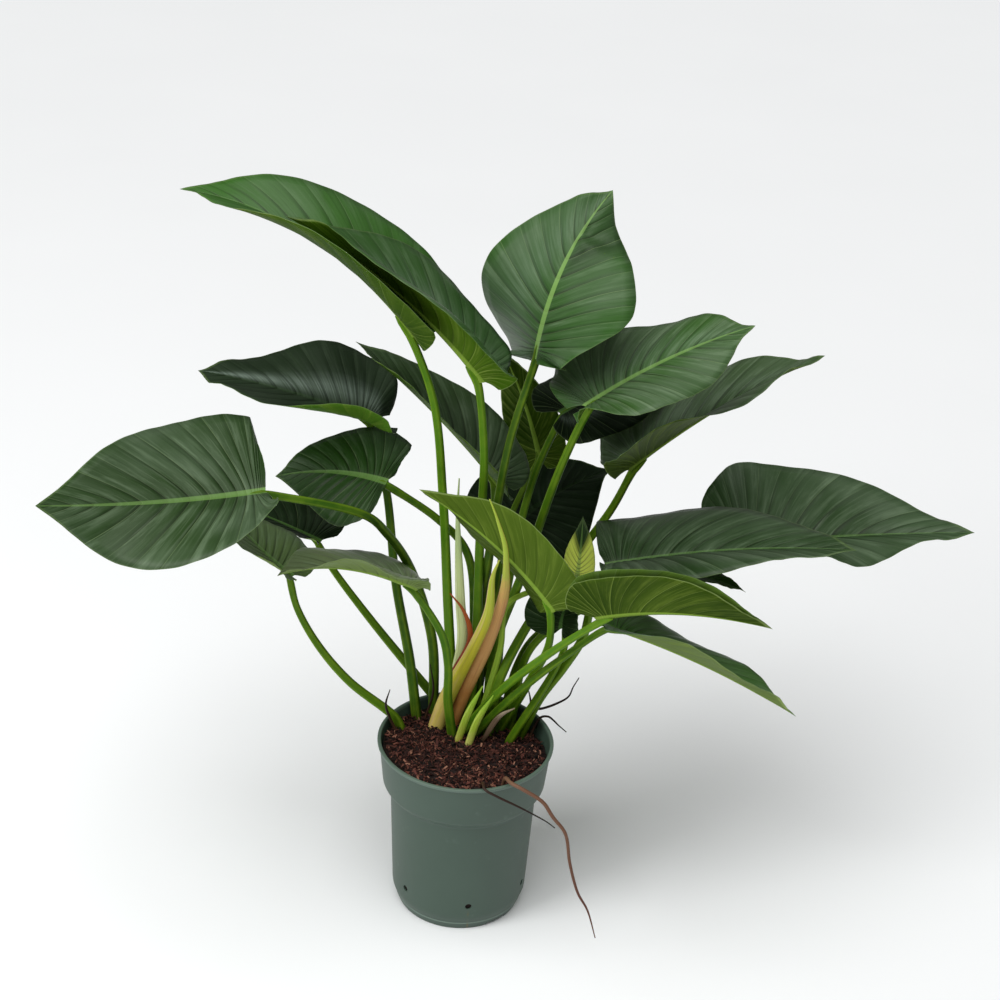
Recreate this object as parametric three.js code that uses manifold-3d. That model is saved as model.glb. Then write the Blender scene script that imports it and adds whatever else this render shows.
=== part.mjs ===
// A potted green beauty philodendron: a plastic nursery pot filled with bark mix, a clump of long
// grooved petioles that each carry one heart-shaped leaf, the new rolled leaves with their sheaths,
// and a few stray roots. Millimetres, +Z up, origin at the middle of the pot's flat underside.
import * as THREE from 'three';
import { mergeVertices } from 'three/addons/utils/BufferGeometryUtils.js';
import Module from 'manifold-3d';

// Pot
const POT_HEIGHT = 257;
const RIM_RADIUS = 120;
const RIM_LIP = 5;            // height of the rolled lip round the mouth
const COLLAR_BOTTOM = 193;    // where the wide collar ends
const COLLAR_RADIUS = 111;
const SHOULDER = 183;         // where the bevel meets the body
const SHOULDER_RADIUS = 100;
const HEEL = 24;              // where the body turns in to the base
const HEEL_RADIUS = 93;
const BASE_RADIUS = 84;
const WALL = 2.2;
const FLOOR = 3;
const POT_SIDES = 36;         // the bark mix has the same sides
const HOLE_SIDES = 8;
const FLOOR_HOLES = 6;
const FLOOR_HOLE_RADIUS = 6;
const FLOOR_HOLE_CIRCLE = 58;
const WALL_HOLES = 6;
const WALL_HOLE_RADIUS = 4.5;
const WALL_HOLE_HEIGHT = 45;
const WALL_HOLE_TURN = -80.5; // degrees from +X to the first hole
const NOTCHES = 3;            // low gaps in the foot that let water run out
const NOTCH = [12, 32, 4];    // depth, width and height
const NOTCH_TURN = -50;

// Bark mix
const SOIL_LEVEL = 240;       // in the middle
const SOIL_FALL = 11;         // how much lower it lies at the back right than in the middle
const SOIL_FALL_TURN = 35;    // degrees from +X towards which it falls
const SOIL_LUMP = 3.2;        // height of the bark lumps
const SOIL_RINGS = 5;
const GAP = 0.35;             // between pieces that rest against each other
const ROOTED = 26;            // how deep a petiole stands in its hole

// Leaves
const BLADE = 1.3;            // thickness
const BLADE_ROWS = 10;
const COLUMNS = [-1, -0.7, -0.38, -0.07, 0, 0.07, 0.38, 0.7, 1];  // shares of the way to each margin
const PETIOLE_SIDES = 6;
const PETIOLE_STEPS = 8;
const PETIOLE_FOOT = 7;       // radius at the soil
const PETIOLE_TOP = 4.7;      // radius under the blade
const THIN_PETIOLE = 0.6;     // how thick the smallest leaf's petiole is against a wide leaf's
const WIDE_LEAF = 180;
const RIB_HEIGHT = 3.4;       // how far the midrib stands out under the blade, at the petiole
const SHOOT_SIDES = 6;
const SHOOT_STEPS = 7;
const ROOT_SIDES = 5;
const WAVES = 3.2;            // waves along half a margin
const WAVE_HEIGHT = 0.022;    // share of the leaf's width

// Half of a leaf's outline, from the inner edge of the basal lobe to the tip: how far along the
// leaf (0 at the petiole, 1 at the tip), how far across (1 = half the width), and where the side
// vein that runs to this point leaves the midrib.
const OUTLINE = [
  [-0.19, 0.2, 0], [-0.215, 0.42, 0.008], [-0.15, 0.7, 0.02], [0, 0.91, 0.04], [0.2, 1, 0.08],
  [0.43, 0.9, 0.18], [0.66, 0.62, 0.36], [0.84, 0.29, 0.6], [0.94, 0.1, 0.82], [1, 0, 1],
];

// Each leaf: where its petiole leaves the soil [x, y], the points that the petiole bends through,
// where it joins the blade, and the blade's tip. arch and bow bend the midrib up and to its right,
// as a share of its length. right and left give each half's lift over the midrib in degrees, at
// the base and at the tip, and then how much more it curls on its way to the margin. lobe is how
// long the basal lobes are against a full leaf's.
const LEAVES = [
  { foot: [-18, 75], via: [[-34, 70, 432], [-46, 66, 586], [-64, 62, 732]],
    joint: [-93, 60, 822], tip: [-399, 166, 959], width: 195, arch: 0.13, bow: -0.03, lobe: 0.35,
    right: [36, 48, -27, -27], left: [26, 7, 40, 26] },
  { foot: [2, 62], via: [[7, 60, 384], [5, 57, 532], [4, 34, 678]],
    joint: [-5, 7, 786], tip: [-255, 81, 961], width: 213, arch: 0.06, bow: 0, lobe: 0.55,
    right: [10, 22, -14, -14], left: [75, 61, -55, -87] },
  { foot: [-70, 70], via: [[-83, 92, 320], [-107, 120, 427], [-125, 148, 554]],
    joint: [-148, 159, 651], tip: [-384, 191, 697], width: 208, arch: 0.06, bow: -0.06, lobe: 0.8,
    right: [30, 23, -2, -13], left: [16, -15, 38, 41] },
  { foot: [0, 84], via: [[3, 90, 391], [-13, 84, 503], [-53, 86, 547]],
    joint: [-121, 69, 607], tip: [-271, 107, 587], width: 162, arch: 0.05, bow: 0.04, lobe: 0.2,
    right: [22, 38, 0, 0], left: [-24, -46, 1, -7] },
  { foot: [-47, 83], via: [[-53, 79, 363], [-84, 64, 478], [-116, 26, 553], [-147, -12, 601]],
    joint: [-265, -50, 646], tip: [-530, -149, 662], width: 258, arch: -0.03, bow: 0.02, lobe: 0.12,
    right: [30, 39, -12, -12], left: [7, -61, 33, -16] },
  { foot: [-26, 91], via: [[-142, 126, 364], [-201, 162, 425]],
    joint: [-218, 174, 455], tip: [-358, 245, 474], width: 148, arch: 0.01, bow: 0.01, lobe: 0.5,
    right: [10, 10, -20, -20], left: [29, 6, 11, -6] },
  { foot: [-90, 36], via: [[-100, 37, 263], [-162, 42, 312], [-206, 44, 367], [-235, 44, 425]],
    joint: [-243, 44, 473], tip: [-345, 120, 540], width: 133, arch: -0.02, bow: -0.04, lobe: 0.8,
    right: [7, 8, -23, -22], left: [35, 20, 17, 8] },
  { foot: [-19, 33], via: [[-27, 22, 304], [-29, 10, 369], [-40, -2, 424]],
    joint: [-75, -15, 496], tip: [-246, -93, 550], width: 145, arch: 0.04, bow: 0.12, lobe: 0.5,
    right: [18, 19, -39, -37], left: [45, 51, -38, -33] },
  { foot: [15, 74], via: [[12, 74, 428], [19, 58, 519], [37, 46, 689]],
    joint: [62, 70, 793], tip: [151, 188, 981], width: 256, arch: 0.08, bow: -0.03, lobe: 0.15,
    right: [31, -38, 10, -36], left: [-37, 23, -3, 34] },
  { foot: [27, 64], via: [[34, 66, 370], [64, 58, 486], [102, 26, 659]],
    joint: [129, 0, 763], tip: [329, 21, 874], width: 215, arch: 0.02, bow: -0.05, lobe: 0.8,
    right: [22, -33, -4, -36], left: [24, 15, -13, -28] },
  { foot: [30, 45], via: [[42, 46, 326], [95, 92, 426], [176, 100, 564]],
    joint: [197, 79, 640], tip: [430, 80, 814], width: 208, arch: 0.01, bow: -0.06, lobe: 0.7,
    right: [44, 12, -8, -14], left: [20, 8, -8, -22] },
  { foot: [25, 85], via: [[44, 112, 413], [60, 128, 531], [78, 140, 607]],
    joint: [105, 142, 687], tip: [279, 225, 711], width: 152, arch: 0.07, bow: 0,
    right: [-3, -7, -24, -24], left: [15, 14, -16, -16] },
  { foot: [10, 95], via: [[27, 98, 386], [44, 142, 520]],
    joint: [83, 221, 573], tip: [22, 206, 741], width: 85, arch: 0.04, bow: 0.09, lobe: 0.5,
    right: [-50, -58, 0, 0], left: [65, 73, 0, 0] },
  { foot: [40, 90], via: [[40, 118, 344]],
    joint: [51, 160, 504], tip: [185, 253, 551], width: 182, arch: 0.01, bow: -0.07, lobe: 0.6,
    right: [-9, 5, -37, -30], left: [22, 13, -6, -9] },
  { foot: [45, 60], via: [[83, 34, 335], [103, -8, 419]],
    joint: [104, -30, 482], tip: [-76, 8, 630], width: 147, arch: 0.04, bow: 0.03, lobe: 0.2,
    right: [-35, -35, -5, -5], left: [69, 100, -6, 10] },
  { foot: [74, 49], via: [[98, 40, 303], [127, 34, 358], [149, 24, 412], [156, 14, 469]],
    joint: [170, 0, 536], tip: [474, -76, 620], width: 204, arch: 0, bow: -0.07, lobe: 0.15,
    right: [34, 10, -28, -39], left: [34, 26, -38, -52] },
  { foot: [-4, 46], via: [[43, 16, 326], [110, -36, 428]],
    joint: [161, -88, 509], tip: [372, -138, 537], width: 146, arch: 0.09, bow: 0.05,
    right: [73, 68, 0, 0], left: [91, 95, 3, 3] },
  { foot: [10, 40], via: [[63, 12, 324], [118, -22, 404]],
    joint: [175, -40, 470], tip: [422, -105, 389], width: 122, arch: 0.03, bow: -0.01, lobe: 0.35,
    right: [35, 56, -6, 12], left: [13, 16, -36, -40] },
  { foot: [50, 80], via: [[67, 88, 322], [89, 104, 359], [176, 138, 405]],
    joint: [355, 142, 497], tip: [690, 191, 513], width: 241, arch: -0.05, bow: -0.12,
    right: [31, 9, -16, -39], left: [62, 25, -16, -40] },
  { foot: [60, 70], via: [[81, 75, 357], [139, 80, 418]],
    joint: [187, 85, 456], tip: [367, 81, 462], width: 120, arch: 0.13, bow: -0.01, lobe: 0.5,
    right: [18, 23, -21, -22], left: [10, 10, -20, -20] },
  { foot: [60, 30], via: [[125, 28, 389]],
    joint: [120, 25, 424], tip: [153, 46, 481], width: 105, arch: 0.14, bow: -0.06,
    right: [23, 27, -16, -15], left: [43, 32, 4, -3] },
  { foot: [-5, 100], via: [[11, 112, 379], [21, 124, 499]],
    joint: [23, 118, 589], tip: [-173, 180, 756], width: 139, arch: 0.03, bow: 0, lobe: 0.8,
    right: [38, 29, -11, -19], left: [30, 27, 15, 18] },
  { foot: [14, 52], via: [[40, 46, 373], [46, 36, 450], [82, 68, 456]],
    joint: [137, 64, 479], tip: [140, 85, 563], width: 44, arch: 0.08, bow: 0.02,
    right: [2, 8, -30, -27], left: [0, 1, -24, -24] },
];

// What grows between the leaves, each standing in the soil at its first point [x, y]: the points
// that it bends through, its half width along the way, and how thick it is for its width.
const SHOOTS = [
  { name: 'sheath_yellow', foot: [-42, 46],
    via: [[-27, 42, 297], [4, 30, 383], [21, 12, 448], [24, -12, 520], [31, -26, 552]],
    widths: [11.5, 11, 8.5, 7.5, 5, 1.2], flat: 0.5, colour: 0xa9ab42 },
  { name: 'sheath_pink', foot: [-20, 57],
    via: [[-6, 50, 293], [21, 42, 377], [35, 22, 443], [41, -2, 497], [40, -28, 548],
      [37, -42, 582], [29, -52, 613], [21, -60, 640], [14, -62, 658]],
    widths: [8, 9, 9, 8, 7.2, 4.4, 3, 0.9], flat: 0.5, colour: 0xb07d52 },
  { name: 'spear_leaf', foot: [-34, 68],
    via: [[-24, 60, 300], [-12, 52, 382], [-17, 50, 445], [-26, 46, 583], [-26, 45, 630]],
    widths: [5, 6, 7, 6, 3.5, 0.9], flat: 0.7, colour: 0x9fb37a },
  { name: 'bract_brown', foot: [-46, 61],
    via: [[-25, 49, 319], [-1, 41, 390], [-11, 38, 434], [-31, 36, 463]],
    widths: [3, 4.5, 5, 3.5, 0.9], flat: 0.35, colour: 0x7c3513 },
  { name: 'shoot_left', foot: [-11, 22], via: [[1, 14, 288], [19, 6, 339]],
    widths: [5, 5, 4, 0.9], flat: 0.8, colour: 0x86a83c },
  { name: 'shoot_right', foot: [3, 12], via: [[15, 10, 282], [34, 2, 328]],
    widths: [5, 5, 4, 0.9], flat: 0.8, colour: 0x86a83c },
  { name: 'old_stub', foot: [6, 25], via: [[13, 22, 269]],
    widths: [5, 5, 3.5], flat: 0.8, colour: 0x2b2018 },
  { name: 'dry_scrap', foot: [22, 20], via: [[45, 16, 286], [64, 10, 304]],
    widths: [2.5, 4, 3.5, 1], flat: 0.3, colour: 0x8a5a3a },
];

// The stray roots, given in the same way.
const ROOTS = [
  { name: 'root_long', foot: [52, -85],
    via: [[55, -98, 265], [62, -114, 269], [76, -124, 268], [105, -128, 251], [119, -130, 230],
      [137, -132, 206], [146, -134, 160], [160, -134, 111], [175, -132, 81], [189, -130, 33]],
    widths: [2.6, 2.6, 2.2, 1.8, 1] },
  { name: 'root_short', foot: [23, -92],
    via: [[25, -108, 262], [29, -121, 261], [45, -125, 254], [76, -126, 239], [112, -127, 219],
      [123, -127, 210]],
    widths: [2, 1.6, 1] },
  { name: 'root_left', foot: [-97, 28], via: [[-106, 26, 270], [-111, 24, 290], [-106, 21, 316]],
    widths: [2, 1.8, 1] },
  { name: 'root_right', foot: [80, 60],
    via: [[89, 67, 264], [104, 75, 263], [120, 80, 267], [139, 80, 281], [145, 81, 297], [152, 82, 312]],
    widths: [2, 1.8, 1] },
  { name: 'root_right_low', foot: [88, 46],
    via: [[101, 53, 262], [112, 57, 262], [121, 59, 254], [127, 60, 247], [139, 60, 236]],
    widths: [2, 1.6, 1] },
  { name: 'root_mid', foot: [-2, 76], via: [[-12, 71, 330], [-18, 70, 392]],
    widths: [1.6, 1.6, 1] },
  { name: 'root_mid_right', foot: [36, 82], via: [[31, 79, 303], [30, 80, 333]],
    widths: [1.6, 1.6, 1] },
  { name: 'root_back', foot: [-58, 66], via: [[-48, 65, 290], [-54, 66, 332]],
    widths: [1.6, 1.6, 1] },
  { name: 'root_back_right', foot: [72, 66], via: [[87, 70, 271], [81, 72, 302]],
    widths: [1.6, 1.6, 1] },
];

const wasm = await Module();
wasm.setup();

// A closed triangle mesh as a solid that can be joined and cut.
function solid(geometry) {
  const bare = new THREE.BufferGeometry();
  bare.setAttribute('position', geometry.getAttribute('position'));
  bare.setIndex(geometry.getIndex());
  const merged = mergeVertices(bare, 1e-4);
  return new wasm.Manifold(new wasm.Mesh({
    numProp: 3,
    vertProperties: merged.getAttribute('position').array,
    triVerts: new Uint32Array(merged.getIndex().array),
  }));
}

function geometryOf(made) {
  const mesh = made.getMesh();
  const geometry = new THREE.BufferGeometry();
  geometry.setAttribute('position', new THREE.Float32BufferAttribute(mesh.vertProperties, 3));
  geometry.setIndex(new THREE.Uint32BufferAttribute(mesh.triVerts, 1));
  geometry.computeVertexNormals();
  return geometry;
}

// The value at share t of a smooth curve through evenly counted rows of numbers.
function through(rows, t) {
  const spans = rows.length - 1;
  const at = Math.min(Math.max(t * spans, 0), spans - 1e-9);
  const i = Math.floor(at);
  const f = at - i;
  const row = (k) => rows[Math.min(Math.max(k, 0), spans)];
  return rows[0].map((_, c) => {
    const [a, b, d, e] = [row(i - 1)[c], row(i)[c], row(i + 1)[c], row(i + 2)[c]];
    return 0.5 * (2 * b + (d - a) * f + (2 * a - 5 * b + 4 * d - e) * f ** 2
      + (3 * b - a - 3 * d + e) * f ** 3);
  });
}

const vector = (xyz) => new THREE.Vector3(...xyz);
const radians = (degrees) => degrees * Math.PI / 180;
const mix = (a, b, t) => a + (b - a) * t;

// A closed limb of round or flattened section along points. radii holds one number for each
// point; flat squeezes the section along the direction front.
function limb(points, radii, sides, flat = 1, front = null) {
  const position = [];
  const index = [];
  const last = points.length - 1;
  let across = front ? front.clone() : new THREE.Vector3(0, 0, 1);
  points.forEach((point, i) => {
    const along = points[Math.min(i + 1, last)].clone().sub(points[Math.max(i - 1, 0)]).normalize();
    const base = front || across;
    across = base.clone().addScaledVector(along, -base.dot(along));
    if (across.length() < 1e-3) across = new THREE.Vector3(0, -1, 0).addScaledVector(along, along.y);
    across.normalize();
    const side = along.clone().cross(across);
    for (let k = 0; k < sides; k += 1) {
      const turn = (k + 0.5) * 2 * Math.PI / sides;
      const vertex = point.clone()
        .addScaledVector(across, Math.cos(turn) * radii[i] * flat)
        .addScaledVector(side, Math.sin(turn) * radii[i]);
      position.push(vertex.x, vertex.y, vertex.z);
    }
  });
  for (let i = 0; i < last; i += 1) {
    for (let k = 0; k < sides; k += 1) {
      const a = i * sides + k;
      const b = i * sides + (k + 1) % sides;
      index.push(a, b, b + sides, a, b + sides, a + sides);
    }
  }
  for (let k = 1; k < sides - 1; k += 1) {
    index.push(0, k + 1, k);
    index.push(last * sides, last * sides + k, last * sides + k + 1);
  }
  const geometry = new THREE.BufferGeometry();
  geometry.setAttribute('position', new THREE.Float32BufferAttribute(position, 3));
  geometry.setIndex(index);
  return geometry;
}

// Pot

// The pot's outer side from the base up, as [radius, height].
const potSide = [
  [BASE_RADIUS, 0], [BASE_RADIUS + 0.8, 1.5], [HEEL_RADIUS, HEEL], [SHOULDER_RADIUS, SHOULDER],
  [COLLAR_RADIUS, COLLAR_BOTTOM], [RIM_RADIUS - 3, POT_HEIGHT - RIM_LIP],
];

// The same side moved in by a distance, with its lowest point at a height.
function insideOf(distance, lowest) {
  const inner = potSide.slice(1).map(([radius, height]) => [radius - distance, height]);
  inner[0][1] = lowest;
  inner[2][1] = SHOULDER + 2;
  inner[3][1] = COLLAR_BOTTOM + 2;
  return inner;
}

function pot() {
  const profile = [
    [0, 0], ...potSide, [RIM_RADIUS, POT_HEIGHT - RIM_LIP], [RIM_RADIUS, POT_HEIGHT],
    [RIM_RADIUS - WALL - 3, POT_HEIGHT], ...insideOf(WALL, FLOOR).reverse(), [0, FLOOR],
  ];
  const points = profile.map(([radius, height]) => new THREE.Vector2(radius, height));
  let body = solid(new THREE.LatheGeometry(points, POT_SIDES).rotateX(Math.PI / 2));
  for (let i = 0; i < FLOOR_HOLES; i += 1) {
    const turn = 2 * Math.PI * (i + 0.5) / FLOOR_HOLES;
    const hole = new THREE.CylinderGeometry(FLOOR_HOLE_RADIUS, FLOOR_HOLE_RADIUS, 4 * FLOOR, HOLE_SIDES);
    hole.rotateX(Math.PI / 2);
    hole.translate(FLOOR_HOLE_CIRCLE * Math.cos(turn), FLOOR_HOLE_CIRCLE * Math.sin(turn), 0);
    body = body.subtract(solid(hole));
  }
  for (let i = 0; i < WALL_HOLES; i += 1) {
    const turn = radians(WALL_HOLE_TURN) + 2 * Math.PI * i / WALL_HOLES;
    const hole = new THREE.CylinderGeometry(WALL_HOLE_RADIUS, WALL_HOLE_RADIUS, 30, HOLE_SIDES);
    hole.rotateZ(Math.PI / 2);
    hole.translate(HEEL_RADIUS, 0, WALL_HOLE_HEIGHT);
    hole.rotateZ(turn);
    body = body.subtract(solid(hole));
  }
  for (let i = 0; i < NOTCHES; i += 1) {
    const notch = new THREE.BoxGeometry(NOTCH[0], NOTCH[1], 2 * NOTCH[2]);
    notch.translate(BASE_RADIUS, 0, 0);
    notch.rotateZ(radians(NOTCH_TURN) + 2 * Math.PI * i / NOTCHES);
    body = body.subtract(solid(notch));
  }
  return body;
}

// Bark mix

function soilHeight(x, y) {
  const turn = radians(SOIL_FALL_TURN);
  const fall = SOIL_FALL * (x * Math.cos(turn) + y * Math.sin(turn)) / RIM_RADIUS;
  const lumps = Math.sin(x * 0.31 + 1.3 * Math.sin(y * 0.23)) * Math.sin(y * 0.29 + Math.sin(x * 0.17));
  return SOIL_LEVEL - fall + SOIL_LUMP * lumps;
}

function soilBody() {
  const side = insideOf(WALL + GAP, FLOOR + GAP);
  const [topRadius] = side.pop();
  const position = [0, 0, FLOOR + GAP];
  const index = [];
  const rings = [];
  const addRing = (radius, heightAt) => {
    rings.push(position.length / 3);
    for (let k = 0; k < POT_SIDES; k += 1) {
      const turn = 2 * Math.PI * k / POT_SIDES;
      const x = radius * Math.cos(turn);
      const y = radius * Math.sin(turn);
      position.push(x, y, heightAt(x, y));
    }
  };
  side.forEach(([radius, height]) => addRing(radius, () => height));
  const rise = (topRadius - COLLAR_RADIUS + WALL + GAP) / (POT_HEIGHT - COLLAR_BOTTOM);
  const edge = COLLAR_RADIUS - WALL - GAP + rise * (SOIL_LEVEL - SOIL_FALL - COLLAR_BOTTOM) - 1;
  for (let i = SOIL_RINGS; i >= 1; i -= 1) addRing(edge * i / SOIL_RINGS, soilHeight);
  for (let k = 0; k < POT_SIDES; k += 1) {
    const next = (k + 1) % POT_SIDES;
    index.push(0, rings[0] + next, rings[0] + k);
    for (let i = 0; i < rings.length - 1; i += 1) {
      index.push(rings[i] + k, rings[i] + next, rings[i + 1] + next);
      index.push(rings[i] + k, rings[i + 1] + next, rings[i + 1] + k);
    }
    const inner = rings[rings.length - 1];
    index.push(inner + k, inner + next, position.length / 3);
  }
  position.push(0, 0, soilHeight(0, 0));
  const geometry = new THREE.BufferGeometry();
  geometry.setAttribute('position', new THREE.Float32BufferAttribute(position, 3));
  geometry.setIndex(index);
  return solid(geometry);
}

// Leaves

// The midrib at share x of its length: the point, and the directions along, right and up.
function midrib(leaf, x) {
  const joint = vector(leaf.joint);
  const tip = vector(leaf.tip);
  const chord = tip.clone().sub(joint);
  const length = chord.length();
  const side = chord.clone().cross(new THREE.Vector3(0, 0, 1)).normalize();
  const lift = side.clone().cross(chord).normalize();
  const bend = joint.clone().add(tip).multiplyScalar(0.5)
    .addScaledVector(lift, 2 * length * leaf.arch).addScaledVector(side, 2 * length * leaf.bow);
  const t = Math.min(Math.max(x, 0), 1);
  const point = joint.clone().multiplyScalar((1 - t) ** 2)
    .addScaledVector(bend, 2 * t * (1 - t)).addScaledVector(tip, t ** 2);
  const start = bend.clone().sub(joint);
  const along = start.clone().multiplyScalar(1 - t).addScaledVector(tip.clone().sub(bend), t);
  point.addScaledVector(start, 1.2 * Math.min(x, 0));
  along.normalize();
  const right = side.addScaledVector(along, -side.dot(along)).normalize();
  const up = right.clone().cross(along);
  return { point, along, right, up };
}

// A point of the blade. along is 1 at the tip, across is 1 at the widest margin.
function bladePoint(leaf, along, across, isRight, lift = 0) {
  const { point, right, up } = midrib(leaf, along);
  const [baseLift, tipLift, baseCurl, tipCurl] = isRight ? leaf.right : leaf.left;
  const t = Math.min(Math.max(along, 0), 1);
  const start = radians(mix(baseLift, tipLift, t));
  const curl = radians(mix(baseCurl, tipCurl, t)) * across;
  const reach = across * leaf.width / 2;
  const bent = Math.abs(curl) > 1e-4;
  const out = bent ? reach * (Math.sin(start + curl) - Math.sin(start)) / curl : reach * Math.cos(start);
  const rise = bent ? reach * (Math.cos(start) - Math.cos(start + curl)) / curl : reach * Math.sin(start);
  const end = start + curl;
  return point.addScaledVector(right, (isRight ? 1 : -1) * (out - lift * Math.sin(end)))
    .addScaledVector(up, rise + lift * Math.cos(end));
}

// The blade's mid surface: rows from the basal lobes to the tip, columns from the left margin
// over the midrib to the right one.
function bladeRows(leaf, number) {
  const rows = [];
  for (let i = 0; i < BLADE_ROWS; i += 1) {
    const share = i / BLADE_ROWS;
    const [reach, across, rib] = through(OUTLINE, share);
    const along = reach < 0 ? reach * (leaf.lobe ?? 1) : reach;
    rows.push(COLUMNS.map((column) => {
      const out = Math.abs(column);
      const isRight = column >= 0;
      const phase = number * 1.7 + (isRight ? 0 : 2.4);
      const wave = leaf.width * WAVE_HEIGHT * out ** 2 * Math.sin(2 * Math.PI * WAVES * share + phase);
      return bladePoint(leaf, mix(rib, along, out), Math.max(across, 0) * out, isRight, wave);
    }));
  }
  return rows;
}

function blade(leaf, number) {
  const rows = bladeRows(leaf, number);
  const columns = COLUMNS.length;
  const middle = COLUMNS.indexOf(0);
  const tip = vector(leaf.tip);
  const at = (i, k) => (i >= rows.length ? tip : rows[i][Math.min(Math.max(k, 0), columns - 1)]);
  const position = [];
  const index = [];
  const pushBoth = (point, normal, ridge) => {
    const over = point.clone().addScaledVector(normal, BLADE / 2);
    const under = point.clone().addScaledVector(normal, -BLADE / 2 - ridge);
    position.push(over.x, over.y, over.z, under.x, under.y, under.z);
  };
  rows.forEach((row, i) => row.forEach((point, k) => {
    const down = at(i + 1, k).clone().sub(at(Math.max(i - 1, 0), k));
    const over = at(i, k + 1).clone().sub(at(i, k - 1));
    pushBoth(point, over.cross(down).normalize(), k === middle ? RIB_HEIGHT * (1 - i / BLADE_ROWS) : 0);
  }));
  pushBoth(tip, midrib(leaf, 1).up, 0);
  const top = (i, k) => (i >= rows.length ? 2 * rows.length * columns : 2 * (i * columns + k));
  const both = (a, b, c) => {
    index.push(a, b, c);
    index.push(a + 1, c + 1, b + 1);
  };
  for (let i = 0; i < rows.length; i += 1) {
    for (let k = 0; k < columns - 1; k += 1) {
      if (i === rows.length - 1) both(top(i, k), top(i, k + 1), top(i + 1, 0));
      else if (k < middle) {
        both(top(i, k), top(i, k + 1), top(i + 1, k));
        both(top(i, k + 1), top(i + 1, k + 1), top(i + 1, k));
      } else {
        both(top(i, k), top(i, k + 1), top(i + 1, k + 1));
        both(top(i, k), top(i + 1, k + 1), top(i + 1, k));
      }
    }
  }
  const rim = [];
  for (let k = 0; k < columns; k += 1) rim.push(top(0, k));
  for (let i = 1; i < rows.length; i += 1) rim.push(top(i, columns - 1));
  rim.push(top(rows.length, 0));
  for (let i = rows.length - 1; i >= 1; i -= 1) rim.push(top(i, 0));
  rim.forEach((a, i) => {
    const b = rim[(i + 1) % rim.length];
    index.push(a, a + 1, b + 1, a, b + 1, b);
  });
  const geometry = new THREE.BufferGeometry();
  geometry.setAttribute('position', new THREE.Float32BufferAttribute(position, 3));
  geometry.setIndex(index);
  return geometry;
}

// The path of a stalk that stands straight in the soil at foot [x, y] and runs on through points.
function stalk(foot, points, steps) {
  const ground = new THREE.Vector3(...foot, soilHeight(...foot));
  const curve = new THREE.CatmullRomCurve3([ground, ...points.map(vector)], false, 'centripetal');
  const sole = ground.clone().add(new THREE.Vector3(0, 0, -ROOTED));
  return [sole, ...curve.getSpacedPoints(steps)];
}

const holes = [];

// A limb on a stalk's path that also leaves its plain hole for the soil.
function rootedLimb(path, radii, sides, flat, front) {
  const wider = radii.map((radius) => radius + GAP / Math.cos(Math.PI / sides) / flat);
  const deeper = path.map((point, i) => (i ? point : point.clone().add(new THREE.Vector3(0, 0, -GAP))));
  holes.push(solid(limb(deeper, wider, sides, flat, front)));
  return solid(limb(path, radii, sides, flat, front));
}

// A leaf: its petiole runs into the underside of the blade's midrib.
function leafBody(leaf, number) {
  const size = Math.min(1, THIN_PETIOLE + (1 - THIN_PETIOLE) * leaf.width / WIDE_LEAF);
  const { point, along, up } = midrib(leaf, 0);
  const end = point.addScaledVector(up, -PETIOLE_TOP * size).addScaledVector(along, 4);
  const path = stalk(leaf.foot, [...leaf.via, end.toArray()], PETIOLE_STEPS);
  const radii = path.map((_, i) => {
    const share = Math.max(i - 1, 0) / PETIOLE_STEPS;
    return size * mix(PETIOLE_FOOT, PETIOLE_TOP, share);
  });
  return rootedLimb(path, radii, PETIOLE_SIDES, 1, null).add(solid(blade(leaf, number)));
}

// A sheath, spear, scrap or root.
function shootBody(shoot, sides, steps) {
  const flat = shoot.flat || 1;
  const path = stalk(shoot.foot, shoot.via, steps);
  const rows = shoot.widths.map((width) => [width]);
  const radii = path.map((_, i) => through(rows, Math.max(i - 1, 0) / steps)[0]);
  return rootedLimb(path, radii, sides, flat, new THREE.Vector3(0, -1, 0));
}

// Assembly

const plant = new THREE.Group();

function place(name, made, colour, roughness) {
  const material = new THREE.MeshStandardMaterial({ color: colour, roughness, metalness: 0 });
  const mesh = new THREE.Mesh(geometryOf(made), material);
  mesh.name = name;
  plant.add(mesh);
}

place('pot', pot(), 0x54695d, 0.5);
LEAVES.forEach((leaf, i) => {
  place(`leaf_${String(i + 1).padStart(2, '0')}`, leafBody(leaf, i), 0x2c4f2b, 0.4);
});
SHOOTS.forEach((shoot) => {
  place(shoot.name, shootBody(shoot, SHOOT_SIDES, SHOOT_STEPS), shoot.colour, 0.55);
});
ROOTS.forEach((root) => {
  const steps = Math.max(4, 2 * root.via.length - 2);
  place(root.name, shootBody(root, ROOT_SIDES, steps), 0x5d4430, 0.8);
});
let soil = soilBody();
for (const hole of holes) soil = soil.subtract(hole);
place('soil', soil, 0x4a2a20, 0.95);

export default plant;
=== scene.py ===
# A potted green beauty philodendron, made one piece after another in the order in which it is put
# together: pot, bark mix, leaves, the newest growth, stray roots. Metres, +Z up, the photographed
# side towards -Y, and the origin in the middle of the pot's underside.
import bpy
import math
import random
import numpy as np
from mathutils import Matrix, Vector, noise


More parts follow.
